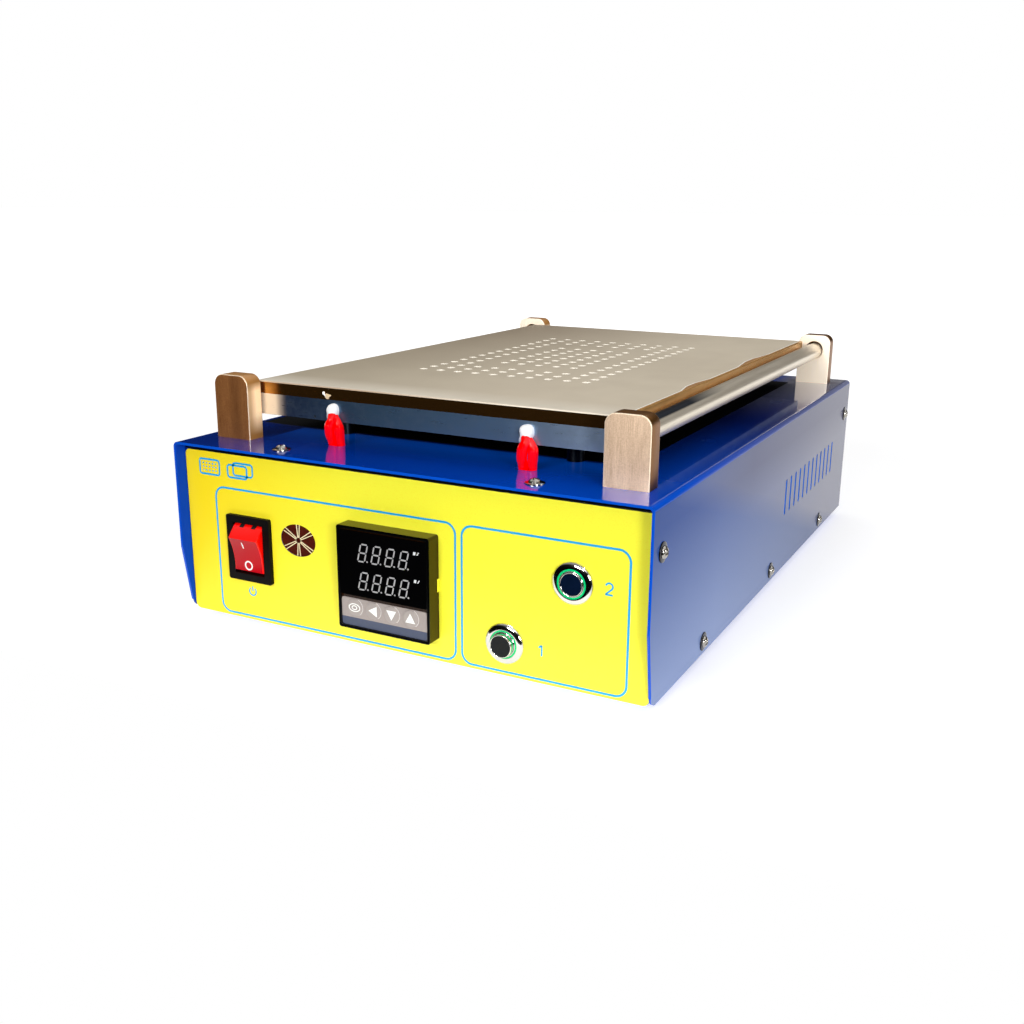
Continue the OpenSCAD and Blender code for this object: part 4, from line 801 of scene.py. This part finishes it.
# %% The two pairs of leads
# Each row: how far the lead has wandered, half the gap, then y, z and thickness
into_case = [[0.4, 2.3, 26.2, 79, 4.5], [0, 2.5, 27, 60, 4.5], [0, 2.5, 46, 28, 4.5],
             [0, 2.5, 84, 12, 4.5], [0, 2.5, 98, 12, 4.5], [0, 2.5, 109, 12, 4.5]]
left_route = [[1.0, 0.3, 23.4, 101.0, 3.2], [1.5, 0.2, 22.1, 99.2, 3.9], [1.9, 0.35, 21.3, 97.3, 4.2],
              [2.2, 2.0, 21.4, 94.6, 4.8], [1.6, 2.5, 23.0, 90.4, 4.7], [1.1, 2.2, 24.6, 87.4, 4.4],
              [0.8, 2.1, 25.6, 84.2, 4.2]]
right_route = [[1.0, 0.3, 24.0, 101.0, 2.6], [1.5, 0.7, 23.4, 98.8, 3.0], [2.0, 1.6, 22.9, 96.6, 3.6],
               [2.2, 2.2, 22.9, 94.2, 4.3], [1.6, 2.3, 24.0, 91.0, 4.4], [1.1, 2.2, 25.0, 87.6, 4.2],
               [0.8, 2.15, 25.8, 84.2, 4.1]]
heater_x = 50
sleeves = []
for heater, wander in ((-heater_x, 0.95), (heater_x, 1.25)):
    for side, rows in ((-1, left_route), (1, right_route)):
        drift, gap, y, z, thick = smooth_line(rows + into_case, 10).T
        path = np.stack([heater + wander * drift + side * gap, y, z], 1)
        sleeves.append(tube(path, thick / 2, 24))
leads = add_piece("red_lead_sleeves", sleeves, "red_silicone_sleeve", "machine")
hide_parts("heater_leads")

# %% [markdown]
# ## The blobs of sealant
# The sealant is a paste pressed on with a spatula, so no two blobs are alike and one has
# run a little. Each blob is a dome on the block's front face whose radius changes round
# it: a slow wave for the hand, a narrow lobe for the drip.


# %% A dome with a wavy rim
def blob(x, z, radius, proud, drip_angle, drip, seed):
    """A dome: from the rim to its top the height is the sine and the radius a power of the
    cosine of one angle. Round the axis the radius has slow waves and one bell-shaped lobe."""
    rise = np.linspace(0, np.pi / 2, 22)[:, None]
    turn = full_turn(48)
    random = np.random.default_rng(seed)
    waves = sum(random.uniform(0.01, 0.05) * np.cos(k * turn + random.uniform(0, 6)) for k in (2, 3, 4))
    waves = waves + 0.09 * np.sin(turn) - 0.03 * np.cos(2 * turn)
    gap = np.angle(np.exp(1j * (turn - math.radians(drip_angle))))
    around = radius * (1 + waves) + drip * np.exp(-(gap / 0.3) ** 2) * np.cos(rise) ** 2
    out = np.cos(rise) ** 0.8 * around
    depth = proud * np.sin(rise) * (1 + 0.1 * np.cos(turn + 1))
    grid = np.stack([x + out * np.cos(turn), block_low[1] - depth, z + out * np.sin(turn)], -1)
    grid[-1] = grid[-1].mean(0)
    return shell(grid)


blobs = [blob(*row) for row in [
    (0.5 - heater_x, 101.2, 3.3, 3.4, 228, 2.3, 3), (heater_x + 1.3, 101.2, 3.4, 3.6, 232, 2.6, 8),
    (-heater_x - 4.9, 109.0, 0.8, 0.5, 310, 1.7, 5), (-heater_x - 3.0, 107.6, 1.3, 0.4, 20, 1.2, 6)]]
sealant_blobs = add_piece("sealant_blobs", blobs, "white_sealant", "machine", 80,
                          [("soiled_sealant", faces_of(blobs, 3))])
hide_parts("sealant_plugs")

# %% [markdown]
# ## The display behind its lens
# The controller shows two rows of four digits in slanted bars. They are dark here, and a
# dark bar is a pale grey window in a black mask. Each bar is a long hexagon; seven make
# a digit, and a dot stands at its foot.

# %% One bar, seven bars, eight digits
lens_front = case_box("controller_lens")[0][1]
half_h, digit_width, slant, pitch, bar_gap, half_bar = 4.0, 3.6, 1.9 / 8, 7.07, 0.5, 0.33


def bar(x, z, length, standing):
    """A hexagon: a rectangle whose short ends come to a point."""
    half = length / 2
    inner = half - half_bar
    outline = np.array([[-half, 0], [-inner, half_bar], [inner, half_bar],
                        [half, 0], [inner, -half_bar], [-inner, -half_bar]])
    return (outline[:, ::-1] if standing else outline) + (x, z)


digit = [bar(0, half_h * k, digit_width - bar_gap, False) for k in (-1, 0, 1)]
digit += [bar(s * digit_width / 2, k * half_h / 2, half_h - bar_gap, True) for s in (-1, 1) for k in (-1, 1)]
segments = []
for row_z in (46.55, 33.55):
    for x in -12.75 + pitch * np.arange(4):
        slanted = [outline + outline[:, 1:] * (slant, 0) + (x, row_z) for outline in digit]
        dot = arc(x + 2.3, row_z - half_h + 0.3, 0.42, 0, 324, 10)
        segments += [plate_of(outline, lens_front) for outline in slanted + [dot]]
add_piece("display_segments", segments, "unlit_segments", "machine")

# %% [markdown]
# ## Keys with a printed sign
# Under the film of the strip each key is a snap dome, which lifts the film in a low round
# pillow. The pillow is a flat top that falls away near its rim, so a fourth root is taken
# of what is left of one after the sixth power of the distance. The sign is a second thin
# layer that follows the same height.

# %% The pillows and their signs
strip_front = case_box("key_film")[0][1]
key_radius, key_height = 4.0, 0.5


def pillow(radius):
    """The height over the strip at a distance from the key's middle."""
    return key_height * (1 - np.clip(radius / key_radius, 0, 1) ** 6) ** 0.25


def key_pillow(x, z, back):
    """Rings from the rim to the middle, each at its height, and a rim that goes behind the strip."""
    radii = key_radius * np.sqrt(np.linspace(1, 0, 16))
    rows = [(radii[0], radii[0], strip_front + back)]
    rows += [(radius, radius, strip_front - pillow(radius)) for radius in radii]
    return shell(ovals(x, z, rows, 40))


def key_sign(corners, x, z):
    """A thin plate from just under the pillow's height to 0.05 above it."""
    outline = np.array(corners, float)
    low = strip_front - pillow(np.hypot(*outline.T))
    outline += (x, z)
    return shell(np.stack([at_depth(outline, low + 0.1), at_depth(outline, low.min() - 0.05)]))


def oval_ring(x, z, wide, high, line, front, back, sides=40):
    """A flat oval ring, as a square section carried round an oval."""
    rows = [(wide, high, back), (wide, high, front),
            (wide - line, high - line, front), (wide - line, high - line, back)]
    return ovals(x, z, rows, sides).swapaxes(0, 1)


signs = {"key_set": [], "key_shift": [(-2.3, 0), (2.1, 2.4), (2.1, -2.4)],
         "key_down": [(0, -2.5), (2.5, 1.9), (-2.5, 1.9)], "key_up": [(0, 2.5), (-2.5, -1.9), (2.5, -1.9)]}
sign_front = strip_front - key_height - 0.04
crescents = []
for number, (node, corners) in enumerate(signs.items()):
    low, high = case_box(node)
    x, z = (low[0] + high[0]) / 2, (low[2] + high[2]) / 2
    parts = [key_pillow(x, z, high[1] - strip_front)]
    if corners:
        parts.append(key_sign(corners, x, z))
    else:
        parts += [shell(oval_ring(x, z, *sides, 0.45, sign_front, sign_front + 0.12), ring=True)
                  for sides in ((3.1, 2.0), (1.5, 1.1))]
    crescents.append(ribbon(arc(x, z, key_radius + 0.05, -55, 70, 24), 0.4, strip_front, 0.06))
    key = add_piece(f"pillow_{node}", parts, "key_dome", f"key_{number + 1}", 30,
                    [("white_print", faces_of(parts, 1))])
    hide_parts(node)
# The pale crescent on each key's upper right is a painted highlight.
add_piece("key_crescents", crescents, "key_rim_shine", "machine")

# %% [markdown]
# ## The controller's black face
# The front of the case round the lens is the blackest thing on the machine, while its
# sides mirror the yellow. The rim is therefore a piece of its own: a square frame whose
# inner edge is rounded over towards the lens. A notch in its right side is filled by a
# dark block with a small yellow one before it. On the lens, a small slanted tag stands
# after each row of digits.

# %% The rim, its notch and the tags
low, high = case_box("controller_case")
middle = np.array([(low[0] + high[0]) / 2, (low[2] + high[2]) / 2])
half_face = (high[0] - low[0]) / 2
rim_loops = []
for inset, radius, y in ((0.02, 1.2, 0.3), (0.12, 1.15, 0.05), (0.35, 1.0, -0.04),
                         (1.2, 0.7, -0.04), (1.4, 0.6, 0.08), (1.45, 0.55, 0.5)):
    half = half_face - inset
    rim_loops.append(at_depth(middle + rounded_frame(-half, -half, half, half, radius, 8), low[1] + y))
rim = shell(np.stack(rim_loops, 1), ring=True)
add_piece("controller_rim", [rim], "dark_lens", "machine")
notch_low, notch_high = 35.4 - 2.95, 35.4 + 2.95
notch = []
for side_x, start, end in ((high[0] - 0.01, -7.0, -1.38), (high[0] + 0.06, -1.38, -0.05)):
    corners = [(start, notch_low), (end, notch_low), (end, notch_high), (start, notch_high)]
    notch.append(shell(np.array([[(x, *corner) for corner in corners] for x in (high[0] - 1.2, side_x)])))
add_piece("rim_notch", notch, "black_gloss_bezel", "machine", 30,
          [("yellow_velvet_film", faces_of(notch, 1))])
tag_outlines = np.array([[(-1.5, -0.7), (-0.35, -0.7), (-0.1, 0.7), (-1.25, 0.7)],
                         [(0.25, -0.7), (0.75, -0.7), (1.6, 0.7), (1.1, 0.7)]])
tags = [plate_of(outline + tag, lens_front)
        for tag in ((14.9, 50.5), (15.1, 38.0)) for outline in tag_outlines]
add_piece("display_tags", tags, "tag_print", "machine")

# %% [markdown]
# ## The red rocker
# The rocker is one clear red moulding with a hollowed face between two ridges. From the
# side it is a polygon with two arcs, and the same outline is carried across its width.
# Near each flat side the outline shrinks along a quarter circle, which rounds the edge
# as a mould does and gives it the bright line of the photograph.

# %% The rocker's outline
rocker_x, pivot_y, pivot_z, tilt = -82.3, 6.0, 36.0, math.radians(13)
reach, hollow, half_face, half_width, skirt_radius = 10.6, 1.2, 8.5, 8.5, 13.6
face_radius = (half_face ** 2 + hollow ** 2) / (2 * hollow)
slope_out, slope_up = 12.52, 5.3


def face_out(up):
    """How far the hollow face stands from the pivot: an arc through both ridges."""
    return reach - hollow + face_radius - np.sqrt(face_radius ** 2 - up ** 2)


def rocker_outline():
    """Points up and out from the pivot: the hollow face, a slope, the round skirt, the foot."""
    up = np.linspace(half_face, -half_face, 14)
    skirt = np.linspace(math.atan2(slope_up, slope_out), math.asin(-3 / skirt_radius), 6)
    skirt = skirt_radius * np.stack([np.cos(skirt), np.sin(skirt)], 1)
    return np.concatenate([np.stack([up, face_out(up)], 1), skirt * (-1, 1), skirt[::-1]])


def shrink(outline, by):
    """Moves each point inward along the middle of its two sides' normals."""
    before, after = unit(outline - np.roll(outline, 1, 0)), unit(np.roll(outline, -1, 0) - outline)
    normal = np.stack([-(before + after)[:, 1], (before + after)[:, 0]], 1)
    length = np.einsum("ij,ij->i", normal, np.stack([-before[:, 1], before[:, 0]], 1))
    return outline + normal / length[:, None] * by


def on_rocker(across, up, out):
    """From the rocker's own axes, tilted about the pivot, to the case's."""
    high = up * math.cos(tilt) - out * math.sin(tilt)
    far = up * math.sin(tilt) + out * math.cos(tilt)
    return np.stack([rocker_x + across + 0 * high, pivot_y - far, pivot_z + high], -1)


outline = rocker_outline()
inward = -1 if np.abs(shrink(outline, 0.5)).sum() > np.abs(outline).sum() else 1
round_edge = 0.45
edge_turns = np.linspace(np.pi / 2, 0, 5)
edges = [(half_width - round_edge * (1 - math.sin(t)), round_edge * (1 - math.cos(t))) for t in edge_turns]
body = [on_rocker(-x, *shrink(outline, inward * by).T) for x, by in edges]
body += [on_rocker(x, *shrink(outline, inward * by).T) for x, by in edges[::-1]]
face_strip = (len(edges) - 1) * len(outline) + np.arange(13)
print("the rocker's outline has", len(outline), "points")

# %% Its marks and its notches
print_low, print_high = -0.1, 0.06
across, up = np.array([(-1.5, 3.2), (-0.9, 3.2), (-0.9, 6.6), (-1.5, 6.6)]).T
on_mark = np.stack([on_rocker(across, up, face_out(up) + lift) for lift in (print_low, print_high)])
across, lift, up = np.moveaxis(oval_ring(0, -5.7, 2.35, 2.35, 0.7, print_high, print_low, 36), -1, 0)
parts = [shell(np.stack(body)), shell(on_mark), shell(on_rocker(across, up, face_out(up) + lift), ring=True)]
slope = np.array([4.02, -5.3]) / math.hypot(4.02, 5.3)
turns = np.radians([22.9, 17, 11, 5])
notch_line = np.array([np.array([slope_out, slope_up]) - slope * 0.5,
                       *skirt_radius * np.stack([np.cos(turns), np.sin(turns)], 1)])
lift = np.array([0.99, 1.006, 1.006, 0.99])
for x in (-3.4, 3.6):
    rows = [on_rocker(np.array([-1.2, -1.2, 1.2, 1.2]) + x, up * lift, out * lift) for up, out in notch_line]
    parts.append(shell(np.stack(rows)))
# The two notches wear the near-black finish as painted shade; the marks are print.
rocker = add_piece("red_rocker", parts, "red_rocker_body", "rocker", 30,
                   [("red_rocker_face", face_strip), ("white_print", faces_of(parts, 1, 3)),
                    ("recess_painted_shade", faces_of(parts, 3))])
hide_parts("power_rocker")

# %% [markdown]
# ## The buzzer's grille
# Six pairs of thin ribs run out from the middle of the oval hole, a little further apart
# at the rim than at the hub. Behind them lies the dark red face of the buzzer.

# %% Ribs and backing
oval_wide, oval_high = 9.95, 7.65
rib_width, rib_front, rib_back = 0.36, 0.3, 0.7
grille_x, grille_z = grille_middle = np.array([-54.2, 44.1])


def beam(start, end, width, front, behind):
    """A straight rib from one point of the panel to another."""
    along = unit(end - start)
    side = np.array([-along[1], along[0]]) * width / 2
    corners = np.array([start + side, start - side, end - side, end + side])
    return shell(np.stack([at_depth(corners, front), at_depth(corners, behind)]))


backing = [(12, 9.7, 2.5), (12, 9.7, 1.65), (9.93, 7.63, 1.64), (9.9, 7.6, 0.55), (1.3, 1.1, 0.55),
           (1.2, 1.0, 1.5)]
parts = [shell(ovals(grille_x, grille_z, backing))]
for angle in np.radians(90 + 60 * np.arange(6)):
    outward = np.array([math.cos(angle), math.sin(angle)])
    rim_distance = 1 / math.hypot(outward[0] / oval_wide, outward[1] / oval_high)
    for side in (-1, 1):
        sideways = np.array([-outward[1], outward[0]]) * side
        parts.append(beam(grille_middle + 1.3 * outward + 0.3 * sideways,
                          grille_middle + (rim_distance - 0.15) * outward + 0.85 * sideways,
                          rib_width, rib_front, rib_back))
grille = add_piece("ribbed_grille", parts, "cream_grille", "machine", 30,
                   [("maroon_buzzer", faces_of(parts, 0, 1))])
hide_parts("buzzer_grille")

# %% [markdown]
# ## Polished button rims
# Both buttons have a turned and polished rim, a lit ring and a cap with a bright edge. A
# turned part is a profile spun round an axis. The rim's profile is a quarter of an oval,
# so its reflections sweep smoothly from the table to the dark room.


# %% Spun profiles
def spun_ring(x, z, profile):
    """Carries a closed profile of (radius, y) points round an axis at x and z."""
    return shell(ovals(x, z, [(radius, radius, y) for radius, y in profile], 72), ring=True)


def quarter_oval(centre, wide, high, turns):
    """Points (radius, y) on an oval round a centre, from turn to turn."""
    return [(centre[0] + wide * math.cos(t), centre[1] - high * math.sin(t)) for t in turns]


# Each button: its middle across and up, and how far its cap stands out of the rim
buttons = [(54.3, 14.9, 2.6), (85.2, 47.0, 0.5)]
rim_profile = [(8.6, 0.2), (9.05, 0.0),
               *quarter_oval((6.45, -0.75), 2.6, 1.35, np.linspace(0, np.pi / 2, 14)),
               (6.4, -2.0), (6.4, -1.6), (8.2, -0.8)]
lip_profile = [*quarter_oval((5.4, -2.0), 0.22, 0.25, np.linspace(0, np.pi, 9)), (5.18, -1.8), (5.62, -1.8)]
rims = [spun_ring(x, z, profile) for x, z, proud in buttons for profile in (rim_profile, lip_profile)]
add_piece("polished_rims", rims, "polished_button_rim", "machine", 50)
for number, (x, z, proud) in enumerate(buttons, 1):
    front = -2 - proud
    edge = [(5.17, -1.95), (5.17, front + 0.35),
            *quarter_oval((4.9, front + 0.2), 0.27, 0.27, np.linspace(0.1, 3.0, 8)),
            (4.6, front + 0.3), (5.0, front + 0.5)]
    add_piece(f"cap_edge_{number}", [spun_ring(x, z, edge)], "polished_button_rim", f"button_{number}",
              50)

# %% [markdown]
# ## Screws with a cross recess
# The cover is held by nickel-plated screws with a broad flange under a low dome. The head
# is a sheet of rings round its axis: the height follows a circle, and inside the two arms
# of the cross it drops by the depth of the recess. Each screw has its own turn, as no
# fitter lines them up.

# %% The cover's fourteen screws
outer_radii = [2.2, 2.45, 2.6, 2.68, 2.8, 4.0, 4.25, 4.3, 4.3, 2.0, 2.0]
screw_radii = np.concatenate([np.linspace(0, 1.9, 14), outer_radii])
flange, dome_radius, dome_height, recess_floor, arm_half, arm_length = 0.55, 2.7, 1.75, 1.2, 0.4, 1.75
shank = np.array([0.5, 0.42, 0.2, 0.0, 0.0, -8.0])[:, None]


def screw_head(origin, normal, spin):
    """Rings from the middle of the dome over the flange and down the shank. Heights over the
    sheet are the flange plus the circle's height; the arms are cut where either sideways
    distance is under their half width."""
    normal = np.array(normal, float)
    first = np.cross(normal, (0, 1, 0))
    second = np.cross(normal, first)
    turn = full_turn(64)
    radius = screw_radii[:, None] + 0 * turn
    dome = dome_height * np.sqrt(np.clip(1 - (radius / dome_radius) ** 2, 0, 1)) + flange
    across, along = np.abs(radius * np.cos(turn + spin)), np.abs(radius * np.sin(turn + spin))
    arm = (np.minimum(across, along) < arm_half) & (np.maximum(across, along) < arm_length)
    dome = np.where(arm, recess_floor, dome)
    dome[-6:] = shank
    near = arm & np.roll(arm, -1, 1)
    points = (np.array(origin) + normal * dome[..., None] + first * (radius * np.cos(turn))[..., None]
              + second * (radius * np.sin(turn))[..., None])
    return *shell(points), np.flatnonzero(near[:-1] & near[1:])


screws = []
for side in (-1, 1):
    screws += [screw_head((side * case_half, y, z), (side, 0, 0), 0.4 + y / 50 + side)
               for y, z in ((4.1, 64.5), (344.7, 64.5), (63.5, 6.0), (177.5, 6.0), (291.5, 6.0))]
    screws += [screw_head((side * 65, y, 85.0), (0, 0, 1), 0.7 + side + y) for y in (4.6, 345.4)]
# The cross recesses wear a near-black finish: painted shade.
recesses = np.concatenate([part[2] + number * len(part[1]) for number, part in enumerate(screws)])
screws = add_piece("recessed_cover_screws", screws, "nickel_screws", "machine", 35,
                   [("recess_painted_shade", recesses)])
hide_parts("cover_screws")

# %% [markdown]
# ## Posts with broken edges
# The four posts are cut from brushed bar. Their edges are broken with a file, and each
# edge then catches the light as a pale line, which the front posts' finish also paints on
# as a painted highlight. The outline is carried through the thickness with a quarter
# circle at both faces, and the bore for the rod is part of the same sheet of points.

# %% An arch carried through its thickness
post_low, post_high = case_box("post_front_left")
post_half, post_tall = (post_high[0] - post_low[0]) / 2, post_high[2] - post_low[2]
bore_z, bore_radius, bore_depth, broken_edge = 20.985, 5.6, 7.0, 0.5


def arch_line(inset, radius=5.0):
    """Round an arch from its lower left corner, all sides but the foot moved inward."""
    half, tall, bend = post_half - inset, post_tall - inset, radius - inset
    foot = np.stack([np.linspace(-half, half, 9)[:-1], np.zeros(8)], 1)
    side = np.stack([np.full(6, half), np.linspace(0, tall - bend, 7)[:-1]], 1)
    corner = arc(half - bend, tall - bend, bend, 0, 90, 11)
    top = np.stack([np.linspace(half - bend, bend - half, 7)[1:-1], np.full(5, tall)], 1)
    return np.concatenate([foot, side, corner, top, (corner * (-1, 1))[::-1], (side * (-1, 1))[::-1]])


def post_rows(x, plain_y, open_y):
    """Loops from the plain face to the bored one, down the bore and to its end."""
    inward = math.copysign(1, open_y - plain_y)
    rows = []
    for face_y, way, turns in ((plain_y, inward, (0, 1, 2, 3, 4)), (open_y, -inward, (4, 3, 2, 1, 0))):
        for t in np.array(turns) * np.pi / 8:
            line = arch_line(broken_edge * (1 - math.sin(t)))
            rows.append((line, face_y + way * broken_edge * (1 - math.cos(t))))
    circle = unit(arch_line(0) - (0, bore_z))
    for radius, depth in ((bore_radius + 0.4, 0), (bore_radius, 0.4), (bore_radius, bore_depth)):
        rows.append((circle * radius + (0, bore_z), open_y - inward * depth))
    return np.stack([at_depth(line + (x, post_low[2]), y) for line, y in rows])


for node in post_nodes:
    low, high = case_box(node)
    plain_y, open_y = (low[1], high[1]) if "front" in node else (high[1], low[1])
    parts = [shell(post_rows((low[0] + high[0]) / 2, plain_y, open_y))]
    post = add_piece(f"brushed_{node}", parts, "brushed_bronze_posts", "machine", 35)
    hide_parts(node)
